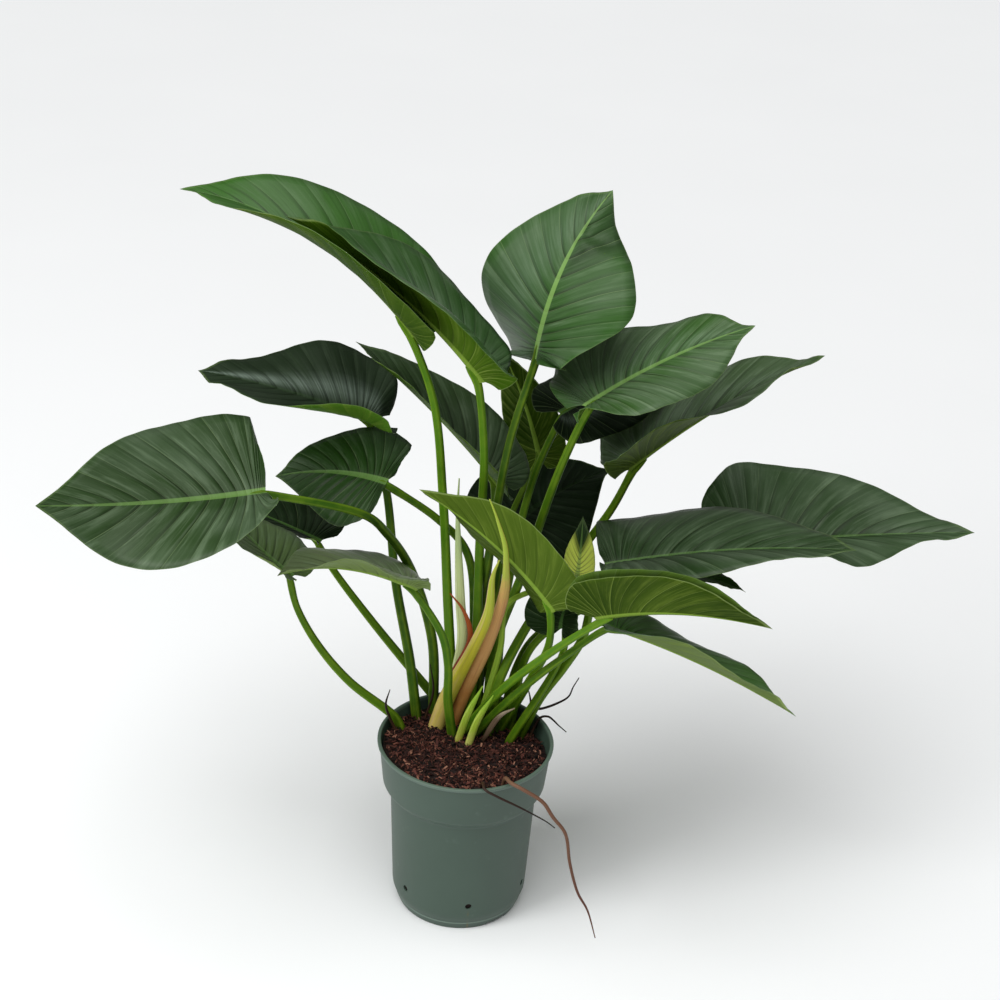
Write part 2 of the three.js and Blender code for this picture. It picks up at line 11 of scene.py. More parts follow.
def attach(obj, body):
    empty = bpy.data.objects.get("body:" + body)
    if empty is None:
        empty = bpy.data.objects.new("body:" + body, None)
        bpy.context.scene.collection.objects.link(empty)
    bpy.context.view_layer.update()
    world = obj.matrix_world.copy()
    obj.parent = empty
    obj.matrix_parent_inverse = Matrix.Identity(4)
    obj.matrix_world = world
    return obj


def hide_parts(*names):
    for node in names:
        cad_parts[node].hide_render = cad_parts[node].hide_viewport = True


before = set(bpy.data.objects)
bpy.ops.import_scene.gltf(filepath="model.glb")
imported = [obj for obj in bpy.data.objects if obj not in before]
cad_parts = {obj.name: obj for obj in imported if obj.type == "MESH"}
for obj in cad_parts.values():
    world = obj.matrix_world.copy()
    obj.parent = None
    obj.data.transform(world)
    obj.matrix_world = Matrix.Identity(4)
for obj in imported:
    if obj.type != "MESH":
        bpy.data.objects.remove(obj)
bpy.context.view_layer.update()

# Camera. It stands in front of the plant, higher than its top leaf, looks down on it, and is
# turned a touch clockwise, as the picture is.
CAMERA_PLACE = (0.0, -2.3, 1.825)
SENSOR_WIDTH, LENS = 36.0, 36.0 * 2.035  # mm
pitch, yaw, roll = math.radians(27.55), math.radians(0.69), math.radians(3.32)
camera_data = bpy.data.cameras.new("camera")
camera_data.sensor_width, camera_data.lens = SENSOR_WIDTH, LENS
camera = bpy.data.objects.new("camera", camera_data)
bpy.context.scene.collection.objects.link(camera)
forward = Vector((math.sin(yaw) * math.cos(pitch), math.cos(yaw) * math.cos(pitch), -math.sin(pitch)))
level = Vector((math.cos(yaw), -math.sin(yaw), 0.0))
upright = level.cross(forward)
right = level * math.cos(roll) + upright * math.sin(roll)
above = upright * math.cos(roll) - level * math.sin(roll)
turn = Matrix((right, above, -forward)).transposed().to_4x4()
camera.matrix_world = Matrix.Translation(CAMERA_PLACE) @ turn
bpy.context.scene.camera = camera
bpy.context.scene.view_settings.view_transform = "Standard"


# Pot. A nursery pot of grey-green polypropylene, moulded in one piece: thick lip, wide collar that
# nests the next pot in a stack, tapered body, chamfered foot with round drain holes and low notches.
RIM_RADIUS = 0.120
POT_SIDE = [  # radius, height and how round the corner is: up the outside, over the lip, down inside
    (0.0840, 0.0000, 0.0008), (0.0850, 0.0015, 0.0008), (0.0886, 0.0112, 0.0003),
    (0.0884, 0.0120, 0.0002), (0.0930, 0.0240, 0.0030), (0.1000, 0.1830, 0.0030),
    (0.1108, 0.1930, 0.0030), (0.1168, 0.2515, 0.0006), (0.1196, 0.2525, 0.0008),
    (0.1200, 0.2568, 0.0011), (0.1148, 0.2570, 0.0011), (0.1146, 0.2500, 0.0010),
    (0.1086, 0.1950, 0.0030), (0.0978, 0.1850, 0.0030), (0.0908, 0.0240, 0.0030),
    (0.0826, 0.0032, 0.0020),
]
HOLES = 6                                # in the floor, and as many in the wall
FLOOR_HOLE, FLOOR_RING = 0.006, 0.058    # radius of a hole, and of the ring on which they lie
WALL_HOLE, WALL_RING, WALL_HOLE_HEIGHT = 0.0045, 0.092, 0.045
FRONT_HOLE = math.radians(-80.5)         # where on the ring the hole at the front is
NOTCHES, NOTCH_RING, FIRST_NOTCH = 3, 0.084, math.radians(-50)


def rounded(corners, steps):
    """A path [radius, height] whose corners are replaced by short bends."""
    path = [corners[0][:2]]
    for before, corner, after in zip(corners, corners[1:], corners[2:] + [(0.0, corners[-1][1], 0)]):
        middle = Vector(corner[:2])
        back, on = Vector(before[:2]) - middle, Vector(after[:2]) - middle
        reach = min(corner[2] * 1.6, back.length * 0.45, on.length * 0.45)
        start, end = middle + back.normalized() * reach, middle + on.normalized() * reach
        for step in range(steps + 1):
            t = step / steps
            path.append(tuple(start * (1 - t) ** 2 + middle * (2 * t * (1 - t)) + end * t ** 2))
    return path


def mesh_of(name, points, faces):
    mesh = bpy.data.meshes.new(name)
    mesh.from_pydata(points, [], faces)
    mesh.update()
    return mesh


def ring_faces(sides, rings):
    """The faces of a closed body whose points are a first one, rings of points, and a last one."""
    faces = []
    for k in range(sides):
        after = (k + 1) % sides
        faces.append((0, 1 + after, 1 + k))
        for i in range(rings - 1):
            low, high = 1 + i * sides, 1 + (i + 1) * sides
            faces.append((low + k, low + after, high + after, high + k))
        last = 1 + (rings - 1) * sides
        faces.append((last + k, last + after, last + sides))
    return faces


def turned(name, path, sides):
    """A closed piece turned round the Z axis from a path that starts and ends near the axis."""
    points = [(0.0, 0.0, path[0][1])]
    for radius, height in path:
        for k in range(sides):
            angle = 2 * math.pi * k / sides
            points.append((radius * math.cos(angle), radius * math.sin(angle), height))
    points.append((0.0, 0.0, path[-1][1]))
    return mesh_of(name, points, ring_faces(sides, len(path)))


def shown(name, mesh, materials, slot, *nodes, sharp=None):
    """Puts a mesh into the scene as a piece of the plant that stands for its CAD nodes."""
    for material in materials:
        mesh.materials.append(material)
    mesh.shade_smooth()
    if sharp:
        mesh.set_sharp_from_angle(angle=math.radians(sharp))
    piece = bpy.data.objects.new(name, mesh)
    bpy.context.scene.collection.objects.link(piece)
    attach(piece, "root")
    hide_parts(*nodes)
    return piece


class Wire:
    """A socket of a material that takes part in sums as a number does."""

    def __init__(self, socket):
        self.socket = socket
        self.tree = socket.id_data

    def sum(self, operation, *terms):
        return node_in(self.tree, "Math", {"operation": operation}, dict(enumerate(terms)))

    def __add__(self, other):
        return self.sum("ADD", self, other)

    def __sub__(self, other):
        return self.sum("SUBTRACT", self, other)

    def __rsub__(self, other):
        return self.sum("SUBTRACT", other, self)

    def __mul__(self, other):
        return self.sum("MULTIPLY", self, other)

    def __truediv__(self, other):
        return self.sum("DIVIDE", self, other)

    def __rtruediv__(self, other):
        return self.sum("DIVIDE", other, self)

    def __pow__(self, other):
        return self.sum("POWER", self, other)

    def __rpow__(self, other):
        return self.sum("POWER", other, self)

    __radd__, __rmul__ = __add__, __mul__

    def of(self, operation):
        """ABSOLUTE or FRACT of this."""
        return self.sum(operation, self)

    def between(self, low, high):
        """0 where this is low, 1 where it is high, and a soft step between them."""
        ends = {"Value": self, "From Min": low, "From Max": high}
        return node_in(self.tree, "MapRange", {"interpolation_type": "SMOOTHSTEP"}, ends)

    def blend(self, first, second):
        """The first colour where this is 0, the second where it is 1."""
        settings = {"data_type": "RGBA", "clamp_factor": True}
        factor, colour_a, colour_b, result = 0, 6, 7, 2  # the Mix node's sockets for colours
        inputs = {factor: self, colour_a: first, colour_b: second}
        return node_in(self.tree, "Mix", settings, inputs, result)


def node_in(tree, kind, settings=None, inputs=None, output=0):
    """Adds a node: its settings first, then the values or wires of its sockets."""
    node = tree.nodes.new("ShaderNode" + kind)
    for name, value in (settings or {}).items():
        if name == "stops":
            ramp = node.color_ramp
            while len(ramp.elements) < len(value):
                ramp.elements.new(0.5)
            for element, (at, tone) in zip(ramp.elements, value):
                element.position, element.color = at, tone
        else:
            setattr(node, name, value)
    for name, value in (inputs or {}).items():
        if isinstance(value, Wire):
            tree.links.new(value.socket, node.inputs[name])
        else:
            node.inputs[name].default_value = value
    return Wire(node.outputs[output])


def colour(code):
    """The linear colour of a web colour such as 54695d."""
    parts = [int(code[i:i + 2], 16) / 255 for i in (0, 2, 4)]
    return (*[(c / 12.92 if c <= 0.04045 else ((c + 0.055) / 1.055) ** 2.4) for c in parts], 1.0)


def finish(name, **fixed):
    """A material with its constant values set, the node tree that it is made in, its shader."""
    material = bpy.data.materials.new(name)
    material.use_nodes = True
    shader = material.node_tree.nodes["Principled BSDF"]
    for socket, value in fixed.items():
        shader.inputs[socket.replace("_", " ")].default_value = value
    return material, material.node_tree, shader


def feed(tree, shader, **wires):
    """Leads what changes over a surface to the shader's sockets."""
    for socket, wire in wires.items():
        tree.links.new(wire.socket, shader.inputs[socket.replace("_", " ")])


def cloud(tree, scale, detail=3.0, where=None, rough=0.55):
    """Even noise from 0 to 1. scale is in patches for each metre."""
    if where is None:
        where = node_in(tree, "TexCoord", output="Object")
    inputs = {"Vector": where, "Scale": scale, "Detail": detail, "Roughness": rough}
    return node_in(tree, "TexNoise", None, inputs)


def relief(tree, height, strength, depth):
    """The small bumps of a skin, where height is 1 at their tops."""
    return node_in(tree, "Bump", None, {"Height": height, "Strength": strength, "Distance": depth})


def pot_finish():
    """Matt plastic with scuffs, dust under the rim, a brown run under the hole at the front, and painted
    highlights on the lip and the foot's step.
    """
    material, tree, shader = finish("pot_plastic", IOR=1.46)
    flow = cloud(tree, 9.0, 4.0)
    grain = cloud(tree, 900.0, 2.0)
    scuffs = cloud(tree, 60.0, 6.0).between(0.62, 0.75)
    place = node_in(tree, "TexCoord", output="Object")
    across, height = (node_in(tree, "SeparateXYZ", None, {"Vector": place}, axis) for axis in "XZ")
    dust = cloud(tree, 340.0, 3.0).between(0.60, 0.72) * height.between(0.215, 0.26)
    foot_highlight = height.between(0.0100, 0.0112) * (1 - height.between(0.0124, 0.0136))
    beside_hole = (across - 0.0155).of("ABSOLUTE")
    run_off = (1 - beside_hole.between(0.0005, 0.0020)) * (1 - height.between(0.030, 0.040))
    green = flow.blend(colour("374a3f"), colour("43574c"))
    green = (scuffs * 0.2).blend(green, colour("64796d"))
    green = (dust * 0.22).blend(green, colour("6a5a48"))
    # Painted highlight: a paler line along the step of the foot and over the top of the lip.
    green = (foot_highlight * 0.4 + height.between(0.2512, 0.2530) * 0.22).blend(green, colour("8ba195"))
    green = (run_off * cloud(tree, 110.0, 3.0).between(0.3, 0.7) * 0.5).blend(green, colour("6b5a26"))
    feed(tree, shader, Base_Color=green, Roughness=0.44 + flow * 0.08 + dust * 0.2,
         Normal=relief(tree, grain + flow * 0.6, 0.12, 0.0004))
    return material


pot_mesh = turned("pot_shell", rounded(POT_SIDE, 5), 192)
pot = shown("pot_shell", pot_mesh, [pot_finish()], "pot", "pot", sharp=40)


def cut_out(piece, shape, place, turn_to):
    """Cuts a closed shape, moved to its place, out of a piece."""
    cutter = bpy.data.objects.new("cutter", shape)
    bpy.context.scene.collection.objects.link(cutter)
    cutter.matrix_world = Matrix.Translation(place) @ turn_to
    cut = piece.modifiers.new("hole", "BOOLEAN")
    cut.operation, cut.object, cut.solver = "DIFFERENCE", cutter, "EXACT"
    bpy.context.view_layer.objects.active = piece
    bpy.ops.object.modifier_apply(modifier=cut.name)
    bpy.data.objects.remove(cutter)


def drill(piece, radius, length, place, turn_to):
    """Cuts a round hole through a piece."""
    cut_out(piece, turned("drill", [(radius, -length / 2), (radius, length / 2)], 32), place, turn_to)


def on_ring(radius, angle, height):
    """A place on a ring round the pot's middle."""
    return radius * math.cos(angle), radius * math.sin(angle), height


BLOCK_CORNERS = [(x, y, z) for z in (-1, 1) for x, y in ((-1, -1), (1, -1), (1, 1), (-1, 1))]
BLOCK_FACES = [(0, 3, 2, 1), (4, 5, 6, 7), (0, 1, 5, 4), (1, 2, 6, 5), (2, 3, 7, 6), (3, 0, 4, 7)]


def notch(depth, width, height):
    """A block with sloping ends, wider at the bottom, to cut a low gap into the foot."""
    corners = [(x * depth / 2, y * width / 2 * (1.12 if z < 0 else 0.88), z * height)
               for x, y, z in BLOCK_CORNERS]
    return mesh_of("notch", corners, BLOCK_FACES)


for i in range(HOLES):
    angle = 2 * math.pi * (i + 0.5) / HOLES
    drill(pot, FLOOR_HOLE, 0.02, on_ring(FLOOR_RING, angle, 0.0), Matrix())
    angle = FRONT_HOLE + 2 * math.pi * i / HOLES
    outwards = Matrix.Rotation(angle, 4, "Z") @ Matrix.Rotation(math.pi / 2, 4, "Y")
    drill(pot, WALL_HOLE, 0.03, on_ring(WALL_RING, angle, WALL_HOLE_HEIGHT), outwards)
for i in range(NOTCHES):
    angle = FIRST_NOTCH + 2 * math.pi * i / NOTCHES
    outwards = Matrix.Rotation(angle, 4, "Z")
    cut_out(pot, notch(0.012, 0.032, 0.004), on_ring(NOTCH_RING, angle, 0.0), outwards)
pot.data.set_sharp_from_angle(angle=math.radians(40))


# Bark mix. Shredded reddish bark and coir, pressed in by hand round the stalks. It is one lumpy
# body that fills the pot, under a loose layer of chips and fibres.
SOIL_LEVEL, SOIL_FALL, SOIL_LUMP = 0.240, 0.011, 0.0032
SOIL_BOTTOM, SOIL_EDGE = 0.00335, 0.1118
SOIL_SIDE = [(0.0820, SOIL_BOTTOM), (0.0904, 0.0240), (0.0974, 0.1853), (0.1082, 0.1953)]
CHIPS, CHIPS_REACH = 4600, 0.1075
FIBRES, FIBRE_STEPS, FIBRE_STEP, THIRD_TURN = 130, 7, 0.0028, 2.0944


def soil_height(x, y):
    """Height of the mix at a place, all in metres; it lies lower at the back right."""
    slope = math.radians(35)
    fall = SOIL_FALL * (x * math.cos(slope) + y * math.sin(slope)) / RIM_RADIUS
    a, b = x * 1000, y * 1000
    lumps = math.sin(a * 0.31 + 1.3 * math.sin(b * 0.23)) * math.sin(b * 0.29 + math.sin(a * 0.17))
    return SOIL_LEVEL - fall + SOIL_LUMP * lumps


def measure(tree, name, output="Fac"):
    """What the mesh says of a measure at each of its points."""
    return node_in(tree, "Attribute", {"attribute_name": name}, output=output)


def note(mesh, measures):
    """Writes measures, a number for each point, into a mesh for its material."""
    for name, values in measures.items():
        attribute = mesh.attributes.new(name, "FLOAT", "POINT")
        attribute.data.foreach_set("value", np.asarray(values, np.float32))


def soil_finish():
    """Each chip has one tone of bark, crossed by fine fibres."""
    material, tree, shader = finish("bark_mix", IOR=1.4)
    stops = [(0.0, "0c0403"), (0.28, "230e0a"), (0.55, "45211a"), (0.78, "6b392f"), (0.93, "905a4a"),
             (1.0, "b07e68")]
    stops = [(at, colour(code)) for at, code in stops]
    tone = node_in(tree, "ValToRGB", {"stops": stops}, {"Fac": measure(tree, "chip")})
    fibre = cloud(tree, 1300.0, 4.0)
    bark = (fibre * 0.6).blend(tone, colour("1d0f0b"))
    feed(tree, shader, Base_Color=bark, Roughness=0.72 + fibre * 0.2,
         Normal=relief(tree, fibre, 0.5, 0.0006))
    return material


def soil_body(sides, rings):
    """The fill of the pot, with a finely crumbled top."""
    points = [(0.0, 0.0, SOIL_BOTTOM)]
    for radius, height in SOIL_SIDE + [(SOIL_EDGE * i / rings, None) for i in range(rings, 0, -1)]:
        for k in range(sides):
            x, y, _ = on_ring(radius, 2 * math.pi * k / sides, 0)
            crumb = noise.noise(Vector((x, y, 0)) * 260) * 0.0014
            points.append((x, y, soil_height(x, y) + crumb - 0.0008 if height is None else height))
    points.append((0.0, 0.0, soil_height(0, 0)))
    return points, ring_faces(sides, len(SOIL_SIDE) + rings)


def bark_chip(dice, first):
    """A loose splinter of bark, a block with uneven corners."""
    radius = CHIPS_REACH * math.sqrt(dice.random())
    x, y, _ = on_ring(radius, dice.uniform(0, 2 * math.pi), 0)
    length = dice.uniform(0.0030, 0.0078) * (1.5 if dice.random() < 0.15 else 1)
    size = Vector((length, length * dice.uniform(0.16, 0.45), length * dice.uniform(0.10, 0.24)))
    heap = 0.0022 * noise.noise(Vector((x, y, 3)) * 90)
    middle = Vector((x, y, soil_height(x, y) + heap + dice.uniform(-0.0012, 0.0030)))
    tilt = Matrix.Rotation(dice.uniform(0, 6.28), 3, "Z") @ Matrix.Rotation(dice.gauss(0, 0.5), 3, "X")
    tilt = tilt @ Matrix.Rotation(dice.gauss(0, 0.5), 3, "Y")
    points = []
    for signs in BLOCK_CORNERS:
        corner = [sign * side * 0.5 * dice.uniform(0.6, 1.15) for sign, side in zip(signs, size)]
        points.append(tuple(middle + tilt @ Vector(corner)))
    return points, [tuple(first + corner for corner in face) for face in BLOCK_FACES]


def coir_fibre(x, y, heading, bend, thick, first):
    """A thin fibre that wanders over the mix, of three-sided section."""
    points, faces = [], []
    for step in range(FIBRE_STEPS + 1):
        rise = 0.0025 + 0.002 * math.sin(step * 1.1 + heading)
        middle = Vector((x, y, soil_height(x, y) + rise))
        across = Vector((-math.sin(heading), math.cos(heading), 0))
        for corner in range(3):
            angle = corner * THIRD_TURN
            out = across * math.cos(angle) + Vector((0, 0, 1)) * math.sin(angle)
            points.append(tuple(middle + out * thick))
        x, y = x + FIBRE_STEP * math.cos(heading), y + FIBRE_STEP * math.sin(heading)
        heading += bend * 0.4
    for step in range(FIBRE_STEPS):
        for corner in range(3):
            a, b = first + step * 3 + corner, first + step * 3 + (corner + 1) % 3
            faces.append((a, b, b + 3, a + 3))
    last = first + FIBRE_STEPS * 3
    return points, faces + [(first + 2, first + 1, first), (last, last + 1, last + 2)]


def soil_mesh():
    """The body of the mix with its chips and fibres, each of them with its own tone."""
    dice = random.Random(7)
    points, faces = soil_body(sides=120, rings=44)
    tones = [0.12] * len(points)
    for _ in range(CHIPS):
        chip_points, chip_faces = bark_chip(dice, len(points))
        points += chip_points
        faces += chip_faces
        tones += [min(1.0, max(0.0, dice.gauss(0.5, 0.3)))] * len(chip_points)
    for _ in range(FIBRES):
        x, y = dice.uniform(-0.09, 0.09), dice.uniform(-0.1, 0.06)
        if math.hypot(x, y) > 0.1:
            continue
        heading, bend = dice.uniform(0, 6.28), dice.uniform(-0.9, 0.9)
        thick, tone = dice.uniform(0.00025, 0.0005), dice.uniform(0.6, 0.95)
        fibre_points, fibre_faces = coir_fibre(x, y, heading, bend, thick, len(points))
        points += fibre_points
        faces += fibre_faces
        tones += [tone] * len(fibre_points)
    mesh = mesh_of("bark_mix", points, faces)
    note(mesh, {"chip": tones})
    return mesh


shown("bark_mix", soil_mesh(), [soil_finish()], "bark_mix", "soil", sharp=35)


# Leaves. Each one grew as a single piece: a long grooved petiole that bends into the midrib, and
# a heart-shaped blade that is quilted between its side veins, with a thin pale margin.
# Half of the outline, from the inner edge of the basal lobe to the tip: how far along the leaf
# (0 at the petiole, 1 at the tip), how far across (1 = half the width), and where the side vein
# that runs to this point leaves the midrib.
OUTLINE = [
    (-0.19, 0.2, 0), (-0.215, 0.42, 0.008), (-0.15, 0.7, 0.02), (0, 0.91, 0.04), (0.2, 1, 0.08),
    (0.43, 0.9, 0.18), (0.66, 0.62, 0.36), (0.84, 0.29, 0.6), (0.94, 0.1, 0.82), (1, 0, 1),
]
# Each leaf: where its petiole leaves the mix, the points that the petiole bends through, where it
# joins the blade, and the blade's tip. arch and bow bend the midrib up and to its right, as a
# share of its length. lobe, wave and quilt scale the basal lobes, the waves of the margin and the
# pleats, and are 1 where they aren't given. right and left give each half's lift over the midrib
# in degrees, at the base and at the tip, and then how much more it curls on its way to the margin.
# fold is a crease across the right half: its place along the leaf, and its height. Past it the right half
# gets painted shade.
# top, under and stalk are the colours, and end is that of the last third of the blade. pale is how
# pale the veins and the midrib are (under 0 they sink into the face), and lit how much painted sheen
# the face has. gleam is a band of painted reflection: its place from margin to margin (-1 to
# 1), its width, and its strength. shade marks the leaves that hang in the shade of others: their
# dark top colours are painted shade, and their tops get little gloss and little painted sheen.
LEAVES = [
    dict(name="leaf_01", foot=(-0.018, 0.075),
         via=[(-0.034, 0.070, 0.432), (-0.046, 0.066, 0.586), (-0.064, 0.062, 0.732)],
         joint=(-0.093, 0.060, 0.822), tip=(-0.399, 0.166, 0.959), width=0.195, arch=0.13, bow=-0.03,
         lobe=0.35, quilt=0.8, right=(36, 48, -27, -27), left=(26, 7, 40, 26),
         top="2f5c18", under="2a470b", stalk="4c7a10", pale=0.2, lit=0.45),
    dict(name="leaf_02", foot=(0.002, 0.062),
         via=[(0.007, 0.060, 0.384), (0.005, 0.057, 0.532), (0.004, 0.034, 0.678)],
         joint=(-0.005, 0.007, 0.786), tip=(-0.255, 0.081, 0.961), width=0.213, arch=0.06, bow=0,
         lobe=0.55, right=(10, 22, -14, -14), left=(75, 61, -55, -87),
         top="2a4f1b", under="375706", stalk="4a7610", pale=0.2, lit=0.7, gleam=(0.3, 0.25, 0.18)),
    dict(name="leaf_03", foot=(-0.070, 0.070),
         via=[(-0.083, 0.092, 0.320), (-0.107, 0.120, 0.427), (-0.125, 0.148, 0.554)],
         joint=(-0.148, 0.159, 0.651), tip=(-0.384, 0.191, 0.697), width=0.208, arch=0.06, bow=-0.06,
         lobe=0.8, wave=1.6, quilt=0.35, right=(30, 23, -2, -13), left=(16, -15, 38, 41),
         top="222f20", under="3f6a18", stalk="30560c", pale=-2.0, gleam=(0.3, 0.16, 0.45), shade=True),
    dict(name="leaf_04", foot=(0.000, 0.084),
         via=[(0.003, 0.090, 0.391), (-0.013, 0.084, 0.503), (-0.053, 0.086, 0.547)],
         joint=(-0.121, 0.069, 0.607), tip=(-0.271, 0.107, 0.587), width=0.162, arch=0.05, bow=0.04,
         lobe=0.2, right=(22, 38, 0, 0), left=(-24, -46, 1, -7),
         top="1a380b", under="3f5f1e", stalk="365e0a", pale=0.4, lit=0.5),
    dict(name="leaf_05", foot=(-0.047, 0.083),
         via=[(-0.053, 0.079, 0.363), (-0.084, 0.064, 0.478), (-0.116, 0.026, 0.553),
              (-0.147, -0.012, 0.601)],
         joint=(-0.265, -0.050, 0.646), tip=(-0.530, -0.149, 0.662), width=0.258, arch=-0.03, bow=0.02,
         lobe=0.12, right=(30, 39, -12, -12), left=(7, -61, 33, -16),
         top="213b13", under="4a6a22", stalk="2c500a", pale=0.5, lit=0.85),
    dict(name="leaf_06", foot=(-0.026, 0.091),
         via=[(-0.142, 0.126, 0.364), (-0.201, 0.162, 0.425)],
         joint=(-0.218, 0.174, 0.455), tip=(-0.358, 0.245, 0.474), width=0.148, arch=0.01, bow=0.01,
         lobe=0.5, right=(10, 10, -20, -20), left=(29, 6, 11, -6),
         top="091b04", under="4a6a24", stalk="466c08", pale=0.1, shade=True),
    dict(name="leaf_07", foot=(-0.090, 0.036),
         via=[(-0.100, 0.037, 0.263), (-0.162, 0.042, 0.312), (-0.206, 0.044, 0.367),
              (-0.235, 0.044, 0.425)],
         joint=(-0.243, 0.044, 0.473), tip=(-0.345, 0.120, 0.540), width=0.133, arch=-0.02, bow=-0.04,
         lobe=0.8, right=(7, 8, -23, -22), left=(35, 20, 17, 8),
         top="566d3c", under="5d7437", stalk="466c08", pale=0.3),
    dict(name="leaf_08", foot=(-0.019, 0.033),
         via=[(-0.027, 0.022, 0.304), (-0.029, 0.010, 0.369), (-0.040, -0.002, 0.424)],
         joint=(-0.075, -0.015, 0.496), tip=(-0.246, -0.093, 0.550), width=0.145, arch=0.04, bow=0.12,
         lobe=0.5, wave=1.5, right=(18, 19, -39, -37), left=(45, 51, -38, -33),
         top="677650", under="718451", stalk="3e6a12"),
    dict(name="leaf_09", foot=(0.015, 0.074),
         via=[(0.012, 0.074, 0.428), (0.019, 0.058, 0.519), (0.037, 0.046, 0.689)],
         joint=(0.062, 0.070, 0.793), tip=(0.151, 0.188, 0.981), width=0.256, arch=0.08, bow=-0.03,
         lobe=0.15, wave=1.7, right=(31, -38, 10, -36), left=(-37, 23, -3, 34), fold=(0.69, 0.005),
         top="2e561d", under="4a6a22", stalk="2c4e0e", pale=1.0, lit=0.7, gleam=(-0.5, 0.3, 0.12)),
    dict(name="leaf_10", foot=(0.027, 0.064),
         via=[(0.034, 0.066, 0.370), (0.064, 0.058, 0.486), (0.102, 0.026, 0.659)],
         joint=(0.129, 0.000, 0.763), tip=(0.329, 0.021, 0.874), width=0.215, arch=0.02, bow=-0.05,
         lobe=0.8, wave=1.7, right=(22, -33, -4, -36), left=(24, 15, -13, -28),
         top="2d5318", under="3f5f1a", stalk="3a620a", pale=0.7, lit=1.0, gleam=(-0.35, 0.3, 0.12)),
    dict(name="leaf_11", foot=(0.030, 0.045),
         via=[(0.042, 0.046, 0.326), (0.095, 0.092, 0.426), (0.176, 0.100, 0.564)],
         joint=(0.197, 0.079, 0.640), tip=(0.430, 0.080, 0.814), width=0.208, arch=0.01, bow=-0.06,
         lobe=0.7, wave=1.5, right=(44, 12, -8, -14), left=(20, 8, -8, -22),
         top="2f4b1d", under="445826", stalk="466c08", lit=1.0, gleam=(-0.4, 0.2, 0.12)),
    dict(name="leaf_12", foot=(0.025, 0.085),
         via=[(0.044, 0.112, 0.413), (0.060, 0.128, 0.531), (0.078, 0.140, 0.607)],
         joint=(0.105, 0.142, 0.687), tip=(0.279, 0.225, 0.711), width=0.152, arch=0.07, bow=0,
         quilt=0.6, right=(-3, -7, -24, -24), left=(15, 14, -16, -16),
         top="081406", under="34501a", stalk="365c0c", pale=0.1, gleam=(0.35, 0.12, 0.25), shade=True),
    dict(name="leaf_13", foot=(0.010, 0.095),
         via=[(0.027, 0.098, 0.386), (0.044, 0.142, 0.520)],
         joint=(0.083, 0.221, 0.573), tip=(0.022, 0.206, 0.741), width=0.085, arch=0.04, bow=0.09,
         lobe=0.5, right=(-50, -58, 0, 0), left=(65, 73, 0, 0),
         top="2a4b14", under="233b02", stalk="30520c"),
    dict(name="leaf_14", foot=(0.040, 0.090),
         via=[(0.040, 0.118, 0.344)],
         joint=(0.051, 0.160, 0.504), tip=(0.185, 0.253, 0.551), width=0.182, arch=0.01, bow=-0.07,
         lobe=0.6, quilt=0.5, right=(-9, 5, -37, -30), left=(22, 13, -6, -9),
         top="041403", under="2f4a18", stalk="30520c", pale=-2.0, shade=True),
    dict(name="leaf_15", foot=(0.045, 0.060),
         via=[(0.083, 0.034, 0.335), (0.103, -0.008, 0.419)],
         joint=(0.104, -0.030, 0.482), tip=(-0.076, 0.008, 0.630), width=0.147, arch=0.04, bow=0.03,
         lobe=0.2, right=(-35, -35, -5, -5), left=(69, 100, -6, 10),
         top="2a4b19", under="465d18", stalk="4c7812"),
    dict(name="leaf_16", foot=(0.074, 0.049),
         via=[(0.098, 0.040, 0.303), (0.127, 0.034, 0.358), (0.149, 0.024, 0.412),
              (0.156, 0.014, 0.469)],
         joint=(0.170, 0.000, 0.536), tip=(0.474, -0.076, 0.620), width=0.204, arch=0, bow=-0.07,
         lobe=0.15, quilt=0.9, right=(34, 10, -28, -39), left=(34, 26, -38, -52),
         top="22391a", under="4a642c", stalk="466c08", pale=0.15, lit=0.7),
    dict(name="leaf_17", foot=(-0.004, 0.046),
         via=[(0.043, 0.016, 0.326), (0.110, -0.036, 0.428)],
         joint=(0.161, -0.088, 0.509), tip=(0.372, -0.138, 0.537), width=0.146, arch=0.09, bow=0.05,
         quilt=0.2, right=(73, 68, 0, 0), left=(96, 97, 3, 3),
         top="46601c", under="2c4208", stalk="4a7812", pale=0.25, shade=True),
    dict(name="leaf_18", foot=(0.010, 0.040),
         via=[(0.063, 0.012, 0.324), (0.118, -0.022, 0.404)],
         joint=(0.175, -0.040, 0.470), tip=(0.422, -0.105, 0.389), width=0.122, arch=0.03, bow=-0.01,
         lobe=0.35, wave=2.0, right=(35, 56, -6, 12), left=(13, 16, -36, -40),
         top="345d1b", under="66784a", stalk="3c640e"),
    dict(name="leaf_19", foot=(0.050, 0.080),
         via=[(0.067, 0.088, 0.322), (0.089, 0.104, 0.359), (0.176, 0.138, 0.405)],
         joint=(0.355, 0.142, 0.497), tip=(0.690, 0.191, 0.513), width=0.241, arch=-0.05, bow=-0.12,
         wave=1.3, right=(31, 9, -16, -39), left=(62, 25, -16, -40),
         top="244019", under="4a6a24", stalk="466c08", pale=0.25, lit=0.85),
    dict(name="leaf_20", foot=(0.060, 0.070),
         via=[(0.081, 0.075, 0.357), (0.139, 0.080, 0.418)],
         joint=(0.187, 0.085, 0.456), tip=(0.367, 0.081, 0.462), width=0.120, arch=0.13, bow=-0.01,
         lobe=0.5, right=(18, 23, -21, -22), left=(10, 10, -20, -20),
         top="233b18", under="3f5a24", stalk="466c08", shade=True),
    dict(name="leaf_21", foot=(0.060, 0.030),
         via=[(0.125, 0.028, 0.389)],
         joint=(0.120, 0.025, 0.424), tip=(0.153, 0.046, 0.481), width=0.105, arch=0.14, bow=-0.06,
         right=(23, 27, -16, -15), left=(43, 32, 4, -3),
         top="0c2102", under="4f6d3c", stalk="466c08", shade=True),
    dict(name="leaf_22", foot=(-0.005, 0.100),
         via=[(0.011, 0.112, 0.379), (0.021, 0.124, 0.499)],
